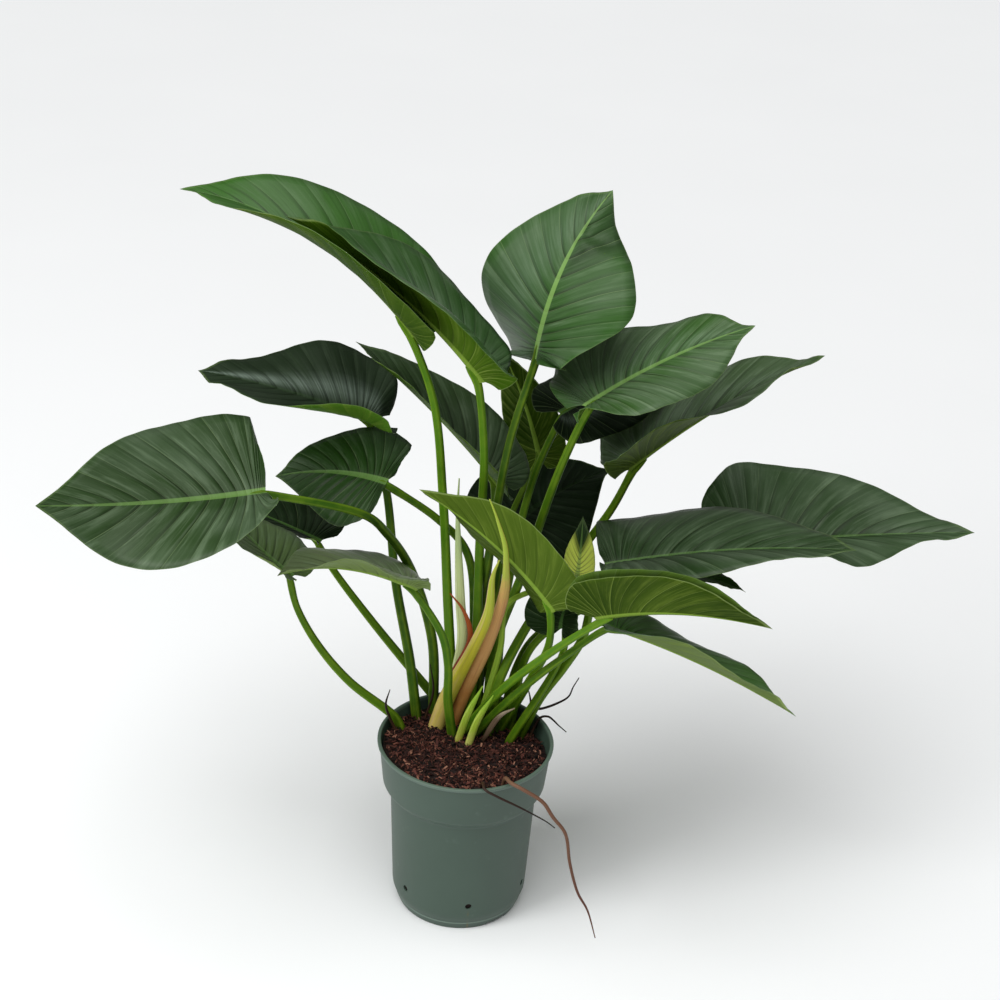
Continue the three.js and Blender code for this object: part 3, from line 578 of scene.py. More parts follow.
         joint=(0.023, 0.118, 0.589), tip=(-0.173, 0.180, 0.756), width=0.139, arch=0.03, bow=0,
         lobe=0.8, right=(38, 29, -11, -19), left=(30, 27, 15, 18),
         top="2c4420", under="3a5a16", stalk="30520c"),
    dict(name="leaf_23", slot="young_leaf", foot=(0.014, 0.052),
         via=[(0.040, 0.046, 0.373), (0.046, 0.036, 0.450), (0.082, 0.068, 0.456)],
         joint=(0.137, 0.064, 0.479), tip=(0.140, 0.085, 0.563), width=0.044, arch=0.08, bow=0.02,
         right=(2, 8, -30, -27), left=(0, 1, -24, -24),
         top="e4f46a", under="e8f880", stalk="86a83a", end="1f3a14", pale=0.6, lit=0.0),
]
VEINS, ROWS_PER_VEIN = 20, 8      # side veins in each half, and rows of points for each
COLUMNS = 15                      # of points, from the midrib to each margin
RIB_COLUMNS = np.array((0, 0.5, 0.8, 1.0, 1.35, 1.9))  # the first ones, where 1 is the midrib's edge
BLADE, MARGIN = 0.0011, 0.0006    # thickness beside the midrib and at the edge
WIDE_LEAF = 0.180                 # narrower leaves have thinner midribs and petioles
RIB_TIP, RIB_BASE = 0.0005, 0.0056
WAVES, WAVE_HEIGHT = 3.2, 0.022   # the height is a share of the blade's width
RIPPLES, RIPPLE_HEIGHT = 17.3, 0.0004
PLEAT_HEIGHT = 0.0014
GROOVE_DEPTH, KEEL_DEPTH = 0.0009, 0.0033
PETIOLE_FOOT, PETIOLE_TOP, THIN_PETIOLE = 0.0074, 0.0048, 0.6
PETIOLE_STEPS, PETIOLE_SIDES = 64, 20
PETIOLE_FRONT = np.array((-0.35, -0.8, 0.6))  # the way that the groove faces
ROOTED = 0.026                    # how deep a stalk stands in the mix
UP = np.array((0.0, 0.0, 1.0))


def unit(vectors):
    return vectors / np.maximum(np.linalg.norm(vectors, axis=-1, keepdims=True), 1e-9)


def through(rows, t):
    """Values at shares t of a smooth curve through evenly counted rows of numbers."""
    rows = np.asarray(rows, float)
    spans = len(rows) - 1
    at = np.clip(np.asarray(t, float) * spans, 0, spans - 1e-9)
    i = np.floor(at).astype(int)
    f = (at - i)[..., None]
    a, b, c, d = (rows[np.clip(i + k, 0, spans)] for k in (-1, 0, 1, 2))
    bend = (2 * a - 5 * b + 4 * c - d) * f ** 2 + (3 * b - a - 3 * c + d) * f ** 3
    return 0.5 * (2 * b + (c - a) * f + bend)


def midrib(leaf, x):
    """The midrib at shares x of its length: points, and the directions along, right and up."""
    joint, tip = np.array(leaf["joint"]), np.array(leaf["tip"])
    chord = tip - joint
    length = np.linalg.norm(chord)
    side = unit(np.cross(chord, UP))
    lift = unit(np.cross(side, chord))
    bend = (joint + tip) / 2 + 2 * length * (leaf["arch"] * lift + leaf["bow"] * side)
    x = np.asarray(x, float)[..., None]
    t = np.clip(x, 0, 1)
    points = joint * (1 - t) ** 2 + bend * 2 * t * (1 - t) + tip * t ** 2
    points = points + 1.2 * (bend - joint) * np.minimum(x, 0)
    along = unit((bend - joint) * (1 - t) + (tip - bend) * t)
    right_way = unit(side - along * np.sum(side * along, axis=-1, keepdims=True))
    return points, along, right_way, np.cross(right_way, along)


def half_blade(leaf, number, is_right):
    """The mid surface of one half, rows from base to tip, columns from the midrib outwards."""
    share = np.linspace(0, 1, VEINS * ROWS_PER_VEIN + 1)
    reach, across, rib = through(OUTLINE, share).T
    reach = np.where(reach < 0, reach * leaf.get("lobe", 1), reach)
    half = np.maximum(across, 0) * leaf["width"] / 2
    size = min(1, leaf["width"] / WIDE_LEAF)
    ridge = np.minimum((RIB_TIP + RIB_BASE * (1 - rib) ** 1.2) * (0.4 + 0.6 * size), half * 0.3)
    on_rib = ridge[:, None] * RIB_COLUMNS
    rest = np.linspace(0, 1, COLUMNS - on_rib.shape[1] + 1)[1:] ** 1.15
    distance = np.hstack((on_rib, on_rib[:, -1:] + (half[:, None] - on_rib[:, -1:]) * rest))
    out = distance / np.maximum(half[:, None], 1e-6)
    out[-1] = 0
    # The side veins sweep towards the tip on their way out.
    along = rib[:, None] + (reach - rib)[:, None] * out ** 1.3
    points, _, right_way, up = midrib(leaf, along)
    base_lift, tip_lift, base_curl, tip_curl = leaf["right"] if is_right else leaf["left"]
    t = np.clip(along, 0, 1)
    start = np.radians(base_lift + (tip_lift - base_lift) * t)
    curl = np.radians(base_curl + (tip_curl - base_curl) * t) * (distance / (leaf["width"] / 2))
    curl = np.where(np.abs(curl) < 1e-4, 1e-4, curl)
    end = start + curl
    # The margin waves and ripples, each half in its own rhythm.
    phase = number * 1.7 + (0 if is_right else 2.4)
    wave = leaf["width"] * WAVE_HEIGHT * leaf.get("wave", 1) * out ** 2
    wave = wave * np.sin(2 * np.pi * WAVES * share + phase)[:, None]
    ripple = RIPPLE_HEIGHT * out ** 6 * np.sin(2 * np.pi * RIPPLES * share + 1.3 * phase)[:, None]
    # The blade bulges between the side veins, more steeply on the side towards its base.
    swell = np.sin(np.pi * (VEINS * share % 1) ** 0.65)[:, None]
    inner = np.clip((distance - ridge[:, None]) / 0.008, 0, 1)
    spread = np.clip(half / 0.03, 0, 1)[:, None]
    pleat = leaf.get("quilt", 1) * PLEAT_HEIGHT * swell * inner * np.clip(1 - out, 0, 1) ** 0.6 * spread
    wave = (wave + ripple) * np.clip(half / (0.12 * leaf["width"]), 0, 1)[:, None] + pleat
    if is_right and "fold" in leaf:  # a crease: up before it and down behind it
        place, height = leaf["fold"]
        past = (along - place) / 0.05
        wave = wave - 2.3 * height * past * np.exp(-past ** 2) * np.clip(out * 4, 0, 1) * (1 - 0.6 * out)
    sideways = distance * (np.sin(end) - np.sin(start)) / curl - wave * np.sin(end)
    rise = distance * (np.cos(start) - np.cos(end)) / curl + wave * np.cos(end)
    points = points + right_way * (sideways * (1 if is_right else -1))[..., None]
    points = points + up * rise[..., None]
    return points, distance, out, half, ridge, share


def grid_faces(first, rows, columns, flip):
    """Quads over a grid of points that was added row by row."""
    quads = []
    for i in range(rows - 1):
        for k in range(columns - 1):
            a = first + i * columns + k
            quad = (a, a + 1, a + columns + 1, a + columns)
            quads.append(quad[::-1] if flip else quad)
    return quads


def blade_parts(leaf, number):
    """Points, faces, material indices and the vein measures of a closed blade."""
    right_half, left_half = (half_blade(leaf, number, is_right) for is_right in (True, False))
    sheet, distance, out = (np.concatenate((left_half[i][:, :0:-1], right_half[i]), axis=1)
                            for i in range(3))
    half, ridge, share = right_half[3:]
    rows, columns = distance.shape
    down, over = np.gradient(sheet, axis=0), np.gradient(sheet, axis=1)
    down[0], down[-1] = sheet[1] - sheet[0], sheet[-2] - sheet[-3]
    over[-1] = over[-2]
    normal = unit(np.cross(over, down))
    middle = columns // 2
    normal[:, middle] = unit(normal[:, middle - 1] + normal[:, middle + 1])
    thick = (BLADE + (MARGIN - BLADE) * out[..., None]) * np.clip(half / 0.006, 0.25, 1)[:, None, None]
    # The midrib is a groove in the top and a keel under it, and both run out towards the tip.
    near = np.clip(1 - (distance / np.maximum(ridge[:, None], 1e-6)) ** 2, 0, 1)[..., None]
    near = near * np.minimum(1, half / 0.004)[:, None, None]
    groove = GROOVE_DEPTH * near * (1 - 0.7 * share)[:, None, None]
    keel = KEEL_DEPTH * near ** 0.7 * (1 - share)[:, None, None]
    top, under = sheet + normal * (thick / 2 - groove), sheet - normal * (thick / 2 + keel)
    # Measures for the finish: order counts the side veins, pitch is their spacing in mm, rib is 1
    # at the midrib's edge, edge is the way to the margin in mm, side runs from -1 to 1 across.
    step = ROWS_PER_VEIN // 2
    padded = np.pad(sheet, ((step, step), (0, 0), (0, 0)), mode="edge")
    pitch = np.linalg.norm(padded[2 * step:] - padded[:-2 * step], axis=2)
    measures = {
        "order": np.broadcast_to((share * VEINS + 60 * number)[:, None], distance.shape),
        "pitch": np.maximum(pitch, 0.001) * 1000,
        "rib": distance / np.maximum(ridge[:, None], 1e-4),
        "edge": (half[:, None] - distance) * 1000,
        "side": out * np.where(np.arange(columns) < middle, -1, 1),
        "share": np.broadcast_to(share[:, None], distance.shape),
    }
    measures = {name: np.tile(values.reshape(-1), 2) for name, values in measures.items()}
    points = np.concatenate((top.reshape(-1, 3), under.reshape(-1, 3)))
    count = rows * columns
    faces = grid_faces(0, rows, columns, False) + grid_faces(count, rows, columns, True)
    finish_of = [0] * (len(faces) // 2) + [1] * (len(faces) // 2)
    rim = list(range(columns)) + [i * columns + columns - 1 for i in range(1, rows)]
    rim += [(rows - 1) * columns + k for k in range(columns - 2, -1, -1)]
    rim += [i * columns for i in range(rows - 2, 0, -1)]
    faces += [(a, a + count, b + count, b) for a, b in zip(rim, rim[1:] + rim[:1])]
    return points, faces, finish_of + [0] * len(rim), measures


def bent(points, steps):
    """Evenly spaced points on a smooth curve through the given ones, which makes no loops."""
    points = [np.asarray(p, float) for p in points]
    points = [2 * points[0] - points[1]] + points + [2 * points[-1] - points[-2]]
    fine = []
    for a, b, c, d in zip(points, points[1:], points[2:], points[3:]):
        times = [0.0]
        for p, q in ((a, b), (b, c), (c, d)):
            times.append(times[-1] + max(np.linalg.norm(q - p), 1e-6) ** 0.5)
        t0, t1, t2, t3 = times
        for t in np.linspace(t1, t2, 24, endpoint=False):
            ab, bc, cd = (p * (v - t) / (v - u) + q * (t - u) / (v - u)
                          for p, q, u, v in ((a, b, t0, t1), (b, c, t1, t2), (c, d, t2, t3)))
            low = ab * (t2 - t) / (t2 - t0) + bc * (t - t0) / (t2 - t0)
            high = bc * (t3 - t) / (t3 - t1) + cd * (t - t1) / (t3 - t1)
            fine.append(low * (t2 - t) / (t2 - t1) + high * (t - t1) / (t2 - t1))
    fine.append(points[-2])
    fine = np.array(fine)
    walked = np.concatenate(([0], np.cumsum(np.linalg.norm(np.diff(fine, axis=0), axis=1))))
    at = np.linspace(0, walked[-1], steps + 1)
    return np.stack([np.interp(at, walked, fine[:, k]) for k in range(3)], axis=1)


def rooted_path(foot, points, steps):
    """A bent path that starts below the mix, with the share of its way at each point."""
    x, y = foot
    ground = soil_height(x, y)
    path = bent([(x, y, ground)] + points, steps)
    path = np.concatenate(([(x, y, ground - ROOTED)], path))
    return path, np.clip((np.arange(len(path)) - 1) / steps, 0, 1)


def swept(path, section, front, first=0):
    """A closed limb along a path. section(i) gives its outline there as [across, out] pairs,
    with out towards front."""
    along = unit(np.gradient(path, axis=0))
    points, faces = [], []
    for i, (point, way) in enumerate(zip(path, along)):
        out = unit(front - way * np.dot(front, way))
        across = np.cross(way, out)
        points += [point + across * u + out * v for u, v in section(i)]
    sides = len(points) // len(path)
    for i in range(len(path) - 1):
        for k in range(sides):
            a, b = first + i * sides + k, first + i * sides + (k + 1) % sides
            faces.append((a, a + sides, b + sides, b))
    faces.append(tuple(first + k for k in range(sides)))
    faces.append(tuple(first + (len(path) - 1) * sides + k for k in range(sides - 1, -1, -1)))
    return np.array(points), faces


def petiole_parts(leaf, first):
    """The grooved petiole, from below the mix into the underside of the midrib. It swells a
    little where it meets the blade."""
    size = min(1, THIN_PETIOLE + (1 - THIN_PETIOLE) * leaf["width"] / WIDE_LEAF)
    ribs, along, _, up = midrib(leaf, [0.0, 0.03, 0.08])
    under = ribs - up * (np.array((0.0040, 0.0030, 0.0022)) * size)[:, None]
    under[0] += along[0] * 0.002
    path, share = rooted_path(leaf["foot"], leaf["via"] + list(under), PETIOLE_STEPS)
    left_over = (1 - share) * np.linalg.norm(np.diff(path, axis=0), axis=1).sum()
    swelling = 1 + 0.12 * np.exp(-((left_over - 0.028) / 0.016) ** 2)
    taper = np.clip(0.35 + left_over / 0.020, 0.35, 1)
    radius = size * (PETIOLE_FOOT + (PETIOLE_TOP - PETIOLE_FOOT) * share) * swelling * taper
    angles = 2 * np.pi * np.arange(PETIOLE_SIDES) / PETIOLE_SIDES

    def section(i):
        dent = 1 - 0.26 * np.exp(-((angles + np.pi) % (2 * np.pi) - np.pi) ** 2 / 0.16)
        return np.stack((np.sin(angles) * dent, np.cos(angles) * dent), axis=1) * radius[i]

    points, faces = swept(path, section, PETIOLE_FRONT, first)
    return points, faces, np.tile(np.cos(angles), len(path)), np.repeat(share, PETIOLE_SIDES)


def laid(tree, x, y, z=0.0):
    """A place made of measures, which lays noise along veins or fibres."""
    return node_in(tree, "CombineXYZ", None, {"X": x, "Y": y, "Z": z})


def blade_finish(name, is_top, gloss, sheen):
    """The upper face is dark and glossy, the underside paler and matt. Both read the leaf's own
    colour from the mesh, with painted shade beside each side vein and painted sheen between them."""
    material, tree, shader = finish(name, IOR=1.45, Specular_IOR_Level=gloss)
    tint = measure(tree, "tint", "Color")
    order, pitch, share, rib = (measure(tree, what) for what in ("order", "pitch", "share", "rib"))
    edge, side, pale, gleam = (measure(tree, what) for what in ("edge", "side", "pale", "gleam"))
    # lit is how much painted sheen a place gets: less on the basal lobes and towards the tip.
    lit = (0.25 + share.between(0.03, 0.32) * 0.75) * (1 - share.between(0.5, 0.95) * 0.45)
    lit = measure(tree, "lit") * lit * sheen
    inner = (1 - side.of("ABSOLUTE")).of("ABSOLUTE")
    phase = order.of("FRACT")
    from_vein = ((order + 0.5).of("FRACT") - 0.5).of("ABSOLUTE") * pitch
    main_vein = 1 - ((order + 0.5) / 3).of("FRACT").between(0.32, 0.35)
    streaks = cloud(tree, 1.0, 4.0, laid(tree, order * 2.6, side * 1.7, order * 0.13), 0.6)
    threads = cloud(tree, 1.0, 3.0, laid(tree, order * 8.0, side * 1.1, order * 0.2), 0.6)
    flow = cloud(tree, 8.5, 2.0)
    cells = cloud(tree, 520.0, 3.0)
    vein_line = 1 - from_vein.between(0.15, 0.7)
    rib_line = 1 - rib.between(0.85, 1.12)
    edge_line = 1 - edge.between(0.45, 1.1)
    # Painted shade in a crease just past each side vein, and painted sheen in streaks between the veins.
    crease = (1 - phase.between(0.02, 0.30)) * inner ** 0.8
    shine = phase.between(0.25, 0.8) * streaks.between(0.4, 0.68) + (1 - streaks).between(0.5, 0.72) * 0.3
    light_threads, dark_threads = threads.between(0.54, 0.72), (1 - threads).between(0.5, 0.72)
    if is_top:
        # Painted shade in the sunk veins near the midrib.
        sunk_vein_shade = (1 - from_vein.between(0.2, 1.5)) * inner ** 2.0
        # A band of painted reflection, broken by fine threads.
        painted_gleam = gleam * (0.35 + threads.between(0.35, 0.65) * 0.65)
        rib_green = pale.blend(colour("4f7638"), colour("92be66"))
        # Painted sheen in grey patches, streaks and pale threads; painted shade in the creases and the
        # sunk veins.
        body = (flow.between(0.36, 0.62) * lit).blend(tint, colour("5d7059"))
        body = (crease * 0.7).blend(body, colour("081404"))
        body = (shine * lit * (0.5 + flow * 0.7)).blend(body, colour("839a7c"))
        body = (dark_threads * 0.3).blend(body, colour("142a0a"))
        body = (light_threads * (inner * 0.6 + 0.4) * lit * 0.5).blend(body, colour("96ac8e"))
        # The band of painted reflection, then painted shade past the fold.
        body = painted_gleam.blend(body, colour("93a59a"))
        body = (sunk_vein_shade * 0.6).blend(body, colour("060f03"))
        body = (gleam * -1.0).blend(body, colour("0c1c06"))
        body = (vein_line * (0.04 + pale * 0.16 + main_vein * 0.12)).blend(body, colour("8aa470"))
        body = (rib_line * (0.7 + pale * 0.3) * (1 - share * 0.65)).blend(body, rib_green)
        body = (edge_line * 0.2).blend(body, colour("7f9a5c"))
        rough, vein_height = 0.33 + streaks * 0.16 + cells * 0.05, -0.5
    else:
        body = (flow.between(0.35, 0.7) * 0.3).blend(tint, colour("5a7422"))
        # Painted shade in the creases and painted sheen in the streaks of the underside.
        body = (crease * 0.45).blend(body, colour("1e3006"))
        body = (shine * lit * 1.4).blend(body, colour("869c40"))
        body = (light_threads * 0.16).blend(body, colour("8fa648"))
        body = (vein_line * (0.06 + main_vein * 0.24 + pale * 0.5)).blend(body, colour("93ab52"))
        body = (rib_line * 0.65).blend(body, colour("86a640"))
        body = (edge_line * 0.45).blend(body, colour("93a766"))
        rough, vein_height = 0.48 + streaks * 0.12 + cells * 0.06, 0.7
    height = cells * 0.25 + streaks * 0.5 - crease * 0.5 + vein_line * vein_height
    feed(tree, shader, Base_Color=body, Roughness=rough, Normal=relief(tree, height, 0.5, 0.0005))
    return material


def stalk_finish():
    """Smooth green skin with fine stripes, with painted highlights on the rims of the groove and painted
    shade deep in it and on the back.
    """
    material, tree, shader = finish("petiole_skin", IOR=1.42, Specular_IOR_Level=0.16)
    tint = measure(tree, "tint", "Color")
    front, share, order = (measure(tree, what) for what in ("rib", "share", "order"))
    stripes = cloud(tree, 1.0, 4.0, laid(tree, front * 7.0, share * 2.5, order))
    streaks = cloud(tree, 40.0, 3.0)
    # Painted highlights on the rims of the groove, painted shade on the back of the stalk and deep in the
    # groove.
    rims = front.between(0.35, 0.6) * (1 - front.between(0.75, 0.95))
    skin = (streaks.between(0.3, 0.7) * 0.25).blend(tint, colour("7c9c20"))
    skin = ((1 - front.between(-0.8, 0.3)) * 0.5).blend(skin, colour("1a3404"))
    skin = (rims * 0.16).blend(skin, colour("94ae30"))
    skin = (front.between(0.85, 0.98) * 0.12).blend(skin, colour("2c4c0c"))
    skin = (stripes.between(0.52, 0.75) * 0.22).blend(skin, colour("9cb034"))
    skin = ((1 - stripes).between(0.55, 0.8) * 0.25).blend(skin, colour("2a4408"))
    feed(tree, shader, Base_Color=skin, Roughness=0.42 + streaks * 0.12)
    return material


def leaf_mesh(leaf, number):
    """A leaf with the colours and measures that its three finishes read."""
    points, faces, finish_of, measures = blade_parts(leaf, number)
    blade = len(points)
    limb_points, limb_faces, front, share = petiole_parts(leaf, blade)
    top, under, stalk = (np.array(colour(leaf[part])) for part in ("top", "under", "stalk"))
    # Painted shade: the stalks darken towards the mix.
    shade = np.clip(0.55 + share / 0.25, 0.55, 1)[:, None]
    face = (blade // 2, 1)
    tints = np.concatenate((np.tile(top, face), np.tile(under, face), stalk * shade))
    tints[:, 3] = 1
    if "end" in leaf:
        darker = np.clip((measures["share"] - 0.66) / 0.08, 0, 1)[:, None]
        tints[:blade] += (np.array(colour(leaf["end"])) - tints[:blade]) * darker
    # A band of painted reflection across the blade, less painted shade past the fold.
    place, reach, strength = leaf.get("gleam", (0, 1, 0))
    gleam = strength * np.exp(-((measures["side"] - place) / reach) ** 2)
    if "fold" in leaf:  # painted shade past the fold, where the right half turns from the light
        past = measures["share"] - leaf["fold"][0] - 0.01
        fold_shade = 0.8 * np.clip(past / 0.04, 0, 1) * np.exp(-np.maximum(past, 0) / 0.1)
        gleam = gleam - fold_shade * np.clip(measures["side"] * 5, 0, 1)
    measures["gleam"] = gleam
    measures["pale"] = np.full(blade, leaf.get("pale", 0.0))
    measures["lit"] = np.full(blade, leaf.get("lit", 0.8))
    on_stalk = {"rib": front, "share": share, "order": np.full(len(share), number * 3.7)}
    mesh = mesh_of(leaf["name"], np.concatenate((points, limb_points)).tolist(), faces + limb_faces)
    mesh.polygons.foreach_set("material_index", finish_of + [2] * len(limb_faces))
    mesh.attributes.new("tint", "FLOAT_COLOR", "POINT").data.foreach_set("color", tints.reshape(-1))
    note(mesh, {what: np.concatenate((values, on_stalk.get(what, np.zeros(len(share)))))
                for what, values in measures.items()})
    mesh.validate()
    mesh.update()
    return mesh


leaf_top = blade_finish("leaf_top", True, 0.25, 0.46)
# A shaded copy of leaf_top, with little gloss and little painted sheen, for the leaves that others shade.
shaded_top = blade_finish("leaf_top_shade", True, 0.04, 0.1)
leaf_under = blade_finish("leaf_under", False, 0.05, 0.22)
petiole_skin = stalk_finish()
for number, leaf in enumerate(LEAVES):
    skins = [shaded_top if leaf.get("shade") else leaf_top, leaf_under, petiole_skin]
    shown(leaf["name"] + "_grown", leaf_mesh(leaf, number), skins, leaf.get("slot", "leaf"), leaf["name"])


# The newest growth: two open halves of the sheath that the last leaf came out of, the next leaf
# still rolled up, a dry bract, two green shoots, an old stub and a dry scrap. Each grows out of
# the mix at its foot, through the points of via, and tapers to its tip. open is the way that a
# trough opens, or 0 for a round limb, and flat is its depth as a share of its width. low, mid and
# high are its colours from foot to tip, and line is the colour of its stripes and rims.
GROWTH = [
    dict(name="sheath_yellow", slot="sheath_yellow", foot=(-0.042, 0.046), open=1, flat=0.5,
         via=[(-0.027, 0.042, 0.297), (0.004, 0.030, 0.383), (0.021, 0.012, 0.448),
              (0.024, -0.012, 0.520), (0.031, -0.026, 0.552)],
         widths=(0.0115, 0.011, 0.0085, 0.0075, 0.005, 0.0012),
         low="d6c266", mid="bcb62e", high="aebc3a", line="dcb498"),
    dict(name="sheath_pink", slot="sheath_pink", foot=(-0.020, 0.057), open=-1, flat=0.5,
         via=[(-0.006, 0.050, 0.293), (0.021, 0.042, 0.377), (0.035, 0.022, 0.443),
              (0.041, -0.002, 0.497), (0.040, -0.028, 0.548), (0.037, -0.042, 0.582),
              (0.029, -0.052, 0.613), (0.021, -0.060, 0.640), (0.014, -0.062, 0.658)],
         widths=(0.008, 0.009, 0.009, 0.008, 0.0072, 0.0044, 0.003, 0.0009),
         low="c07e40", mid="d4a468", high="a6c040", line="a24a2c"),
    dict(name="spear_leaf", slot="pale_shoot", foot=(-0.034, 0.068), open=0, flat=0.7,
         via=[(-0.024, 0.060, 0.300), (-0.012, 0.052, 0.382), (-0.017, 0.050, 0.445),
              (-0.026, 0.046, 0.583), (-0.026, 0.045, 0.630)],
         widths=(0.005, 0.006, 0.007, 0.006, 0.0035, 0.0009),
         low="b8c474", mid="c6d292", high="b8cf8e", line="eaecce"),
    dict(name="bract_brown", slot="dry_brown", foot=(-0.046, 0.061), open=1, flat=0.35,
         via=[(-0.025, 0.049, 0.319), (-0.001, 0.041, 0.390), (-0.011, 0.038, 0.434),
              (-0.031, 0.036, 0.463)],
         widths=(0.003, 0.0045, 0.005, 0.0035, 0.0009),
         low="6e2f12", mid="8a3a14", high="a4501c", line="4a1c0c"),
    dict(name="shoot_left", slot="pale_shoot", foot=(-0.011, 0.022), open=0, flat=0.8,
         via=[(0.001, 0.014, 0.288), (0.019, 0.006, 0.339)],
         widths=(0.005, 0.005, 0.004, 0.0009),
         low="c0c050", mid="a2c23c", high="8ab42e", line="dce494"),
    dict(name="shoot_right", slot="pale_shoot", foot=(0.003, 0.012), open=0, flat=0.8,
         via=[(0.015, 0.010, 0.282), (0.034, 0.002, 0.328)],
         widths=(0.005, 0.005, 0.004, 0.0009),
         low="c6c46c", mid="a6c43c", high="8cb630", line="dce494"),
    dict(name="old_stub", slot="dark_stub", foot=(0.006, 0.025), open=0, flat=0.8,
         via=[(0.013, 0.022, 0.269)],
         widths=(0.005, 0.005, 0.0035),
         low="2b2018", mid="3a2a1e", high="4a3626", line="1a120d"),
    dict(name="dry_scrap", slot="dry_brown", foot=(0.022, 0.020), open=1, flat=0.3,
         via=[(0.045, 0.016, 0.286), (0.064, 0.010, 0.304)],
         widths=(0.0025, 0.004, 0.0035, 0.001),
         low="4a3626", mid="7a6652", high="a89a84", line="33241a"),
]


def growth_finish(name, low, mid, high, line):
    """Fibrous skin that changes colour from foot to tip, with fine stripes along it and another
    colour at its rims."""
    material, tree, shader = finish(name, IOR=1.42, Specular_IOR_Level=0.35)
    share, side = measure(tree, "share"), measure(tree, "side")
    stripes = cloud(tree, 3.0, 4.0, laid(tree, side * 1.5, share))
    fibres = cloud(tree, 1.0, 3.0, laid(tree, side * 6.0, share * 1.4, 3.0))
    spots = cloud(tree, 420.0, 3.0)
    patches = cloud(tree, 45.0, 3.0)
    dark = (*[part * 0.3 for part in colour(low)[:3]], 1.0)
    skin = (share + patches * 0.3 - 0.15).between(0.0, 0.35).blend(colour(low), colour(mid))
    skin = (share + patches * 0.2 - 0.1).between(0.5, 0.8).blend(skin, colour(high))
    skin = (stripes.between(0.5, 0.75) * 0.45).blend(skin, colour(line))
    skin = (fibres.between(0.52, 0.72) * 0.3).blend(skin, colour(line))
    skin = ((1 - fibres).between(0.52, 0.72) * 0.35).blend(skin, dark)
    skin = (side.of("ABSOLUTE").between(0.72, 0.98) * 0.7).blend(skin, colour(line))
    feed(tree, shader, Base_Color=skin, Roughness=0.42 + spots * 0.2,
         Normal=relief(tree, stripes + spots * 0.3, 0.4, 0.0006))
    return material


def growth_mesh(plant, steps, sides):
    """A limb of flattened section, or a trough where the piece is open."""
    path, share = rooted_path(plant["foot"], plant["via"], steps)
    widths = through([[w] for w in plant["widths"]], share)[:, 0]
    flat = plant.get("flat", 1)
    if plant.get("open"):
        sweep = np.linspace(-1, 1, sides)
        turn_to = plant["open"] * 0.55

        def section(i):
            width = widths[i]
            angle = sweep * (0.85 + 0.5 * (1 - share[i])) * np.pi * 0.62
            shell = min(0.0011, width * 0.3)
            ring = []
            for angles, radius in ((angle, width), (angle[::-1], width - shell)):
                for a in angles + turn_to:
                    ring.append((radius * math.sin(a), flat * radius * math.cos(a) * 1.5))
            return np.array(ring) - (0, flat * width * 0.55)

        across = list(sweep) + list(sweep[::-1])
    else:
        angles = 2 * np.pi * np.arange(sides) / sides

        def section(i):
            width = widths[i] * (1 - 0.06 * np.cos(3 * angles))
            return np.stack((np.sin(angles) * width, np.cos(angles) * width * flat), axis=1)

        across = list(0.8 * np.sin(angles))
    points, faces = swept(path, section, np.array((0.0, -1.0, 0.0)))
    mesh = mesh_of(plant["name"], points.tolist(), faces)
    note(mesh, {"share": np.repeat(share, len(points) // len(path)), "side": np.tile(across, len(path))})
    return mesh


for plant in GROWTH:
    tones = (plant[part] for part in ("low", "mid", "high", "line"))
    skin = growth_finish(plant["name"] + "_skin", *tones)
    mesh = growth_mesh(plant, 40, 16)
    shown(plant["name"] + "_grown", mesh, [skin], plant["slot"], plant["name"], sharp=50)


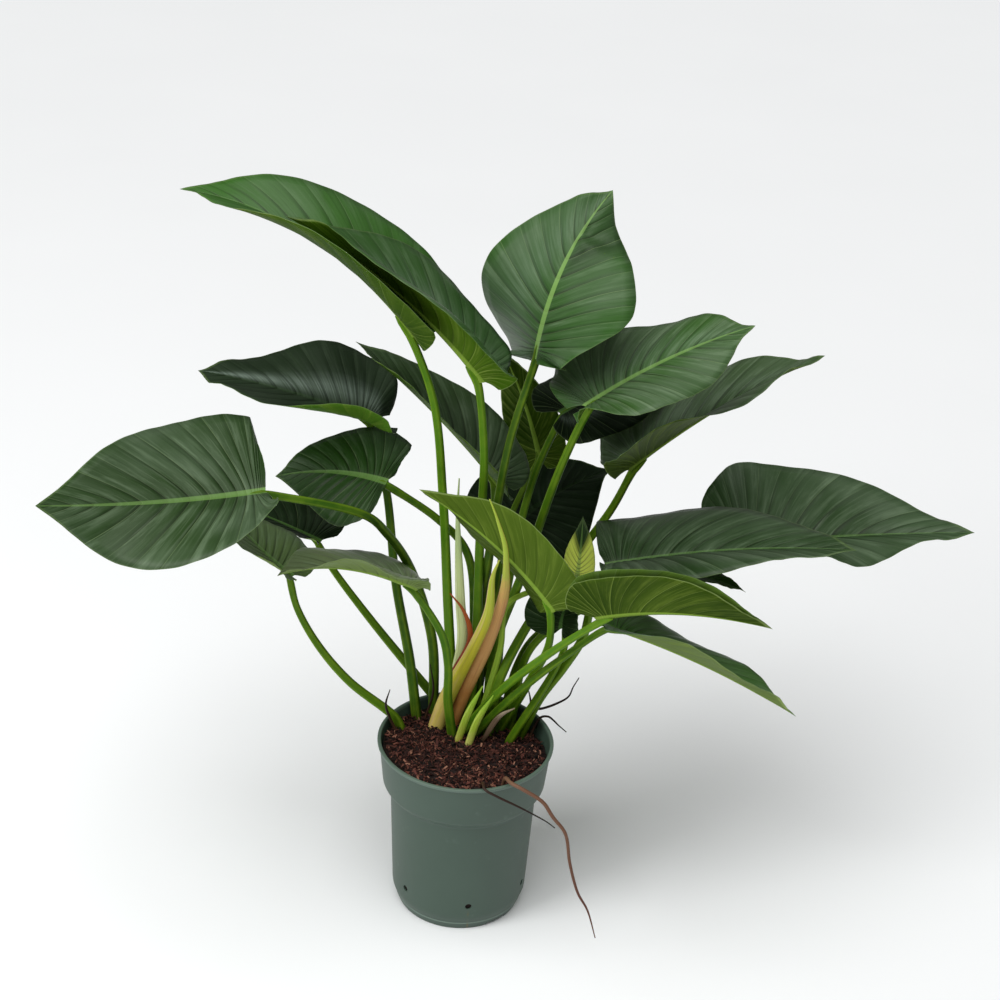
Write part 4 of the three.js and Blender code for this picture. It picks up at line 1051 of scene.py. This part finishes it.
# Stray roots: two that hang over the front rim, and thin dark ones that stick up between the
# stalks and over the rim at the right. The long one has dried to a reddish brown.
DRIED_ROOT = ("7a5a45", "6b4a38", "5a3426", "3a251b")
DARK_ROOT = ("4a3322", "2a1a12", "1c120c", "120b08")
ROOTS = [
    dict(name="root_long", foot=(0.052, -0.085), widths=(0.0026, 0.0026, 0.0022, 0.0018, 0.0007),
         via=[(0.055, -0.098, 0.265), (0.062, -0.114, 0.269), (0.076, -0.124, 0.268),
              (0.105, -0.128, 0.251), (0.119, -0.130, 0.230), (0.137, -0.132, 0.206),
              (0.146, -0.134, 0.160), (0.160, -0.134, 0.111), (0.175, -0.132, 0.081),
              (0.189, -0.130, 0.033)]),
    dict(name="root_short", foot=(0.023, -0.092), widths=(0.002, 0.0016, 0.0007),
         via=[(0.025, -0.108, 0.262), (0.029, -0.121, 0.261), (0.045, -0.125, 0.254),
              (0.076, -0.126, 0.239), (0.112, -0.127, 0.219), (0.123, -0.127, 0.210)]),
    dict(name="root_left", foot=(-0.097, 0.028), widths=(0.002, 0.0018, 0.0007),
         via=[(-0.106, 0.026, 0.270), (-0.111, 0.024, 0.290), (-0.106, 0.021, 0.316)]),
    dict(name="root_right", foot=(0.080, 0.060), widths=(0.002, 0.0018, 0.0007),
         via=[(0.089, 0.067, 0.264), (0.104, 0.075, 0.263), (0.120, 0.080, 0.267),
              (0.139, 0.080, 0.281), (0.145, 0.081, 0.297), (0.152, 0.082, 0.312)]),
    dict(name="root_right_low", foot=(0.088, 0.046), widths=(0.002, 0.0016, 0.0007),
         via=[(0.101, 0.053, 0.262), (0.112, 0.057, 0.262), (0.121, 0.059, 0.254),
              (0.127, 0.060, 0.247), (0.139, 0.060, 0.236)]),
    dict(name="root_mid", foot=(-0.002, 0.076), widths=(0.0016, 0.0016, 0.0007),
         via=[(-0.012, 0.071, 0.330), (-0.018, 0.070, 0.392)]),
    dict(name="root_mid_right", foot=(0.036, 0.082), widths=(0.0016, 0.0016, 0.0007),
         via=[(0.031, 0.079, 0.303), (0.030, 0.080, 0.333)]),
    dict(name="root_back", foot=(-0.058, 0.066), widths=(0.0016, 0.0016, 0.0007),
         via=[(-0.048, 0.065, 0.290), (-0.054, 0.066, 0.332)]),
    dict(name="root_back_right", foot=(0.072, 0.066), widths=(0.0016, 0.0016, 0.0007),
         via=[(0.087, 0.070, 0.271), (0.081, 0.072, 0.302)]),
]
for root in ROOTS:
    tones = DRIED_ROOT if root["name"] == "root_long" else DARK_ROOT
    skin = growth_finish(root["name"] + "_bark", *tones)
    shown(root["name"] + "_grown", growth_mesh(root, 60, 10), [skin], "root", root["name"], sharp=60)


# The floor it stands on, and soft studio light: a very broad sun from above, a square panel in
# front at the left, and a pale room. All of it is a warm white.
FLOOR_REACH = 6
WARM_WHITE = (1.0, 0.985, 0.955)
PANEL_PLACE, PANEL_TARGET, PANEL_SIZE, PANEL_POWER = (-2.4, -1.6, 2.2), (0.0, 0.0, 0.5), 1.4, 46
SUN_STRENGTH, SUN_BREADTH, SUN_TILT = 2.1, math.radians(55), (math.radians(18), math.radians(-8), 0.0)
ROOM_STRENGTH = 0.30


def stage_finish():
    material, tree, shader = finish("pale_floor", IOR=1.3)
    wear = cloud(tree, 1.5, 2.0)
    white = wear.blend(colour("f3f6fa"), colour("f6f9fd"))
    feed(tree, shader, Base_Color=white, Roughness=0.75 + wear * 0.1)
    return material


floor_corners = [(x * FLOOR_REACH, y * FLOOR_REACH, 0) for x, y in ((-1, -1), (1, -1), (1, 1), (-1, 1))]
floor_mesh = mesh_of("floor", floor_corners, [(0, 1, 2, 3)])
floor_mesh.materials.append(stage_finish())
floor = bpy.data.objects.new("floor", floor_mesh)
bpy.context.scene.collection.objects.link(floor)


def lamp(name, kind, power):
    """A warm white light, still to be sized, placed and turned."""
    data = bpy.data.lights.new(name, kind)
    data.energy, data.color = power, WARM_WHITE
    light = bpy.data.objects.new(name, data)
    bpy.context.scene.collection.objects.link(light)
    return light


panel = lamp("left_panel", "AREA", PANEL_POWER)
panel.data.shape, panel.data.size, panel.data.size_y = "RECTANGLE", PANEL_SIZE, PANEL_SIZE
panel.location = PANEL_PLACE
panel.rotation_euler = (Vector(PANEL_TARGET) - Vector(PANEL_PLACE)).to_track_quat("-Z", "Y").to_euler()
sun = lamp("soft_sky", "SUN", SUN_STRENGTH)
sun.data.angle, sun.rotation_euler = SUN_BREADTH, SUN_TILT
world = bpy.data.worlds.new("room")
bpy.context.scene.world = world
world.use_nodes = True
background = world.node_tree.nodes["Background"]
background.inputs["Color"].default_value = (*WARM_WHITE, 1.0)
background.inputs["Strength"].default_value = ROOM_STRENGTH
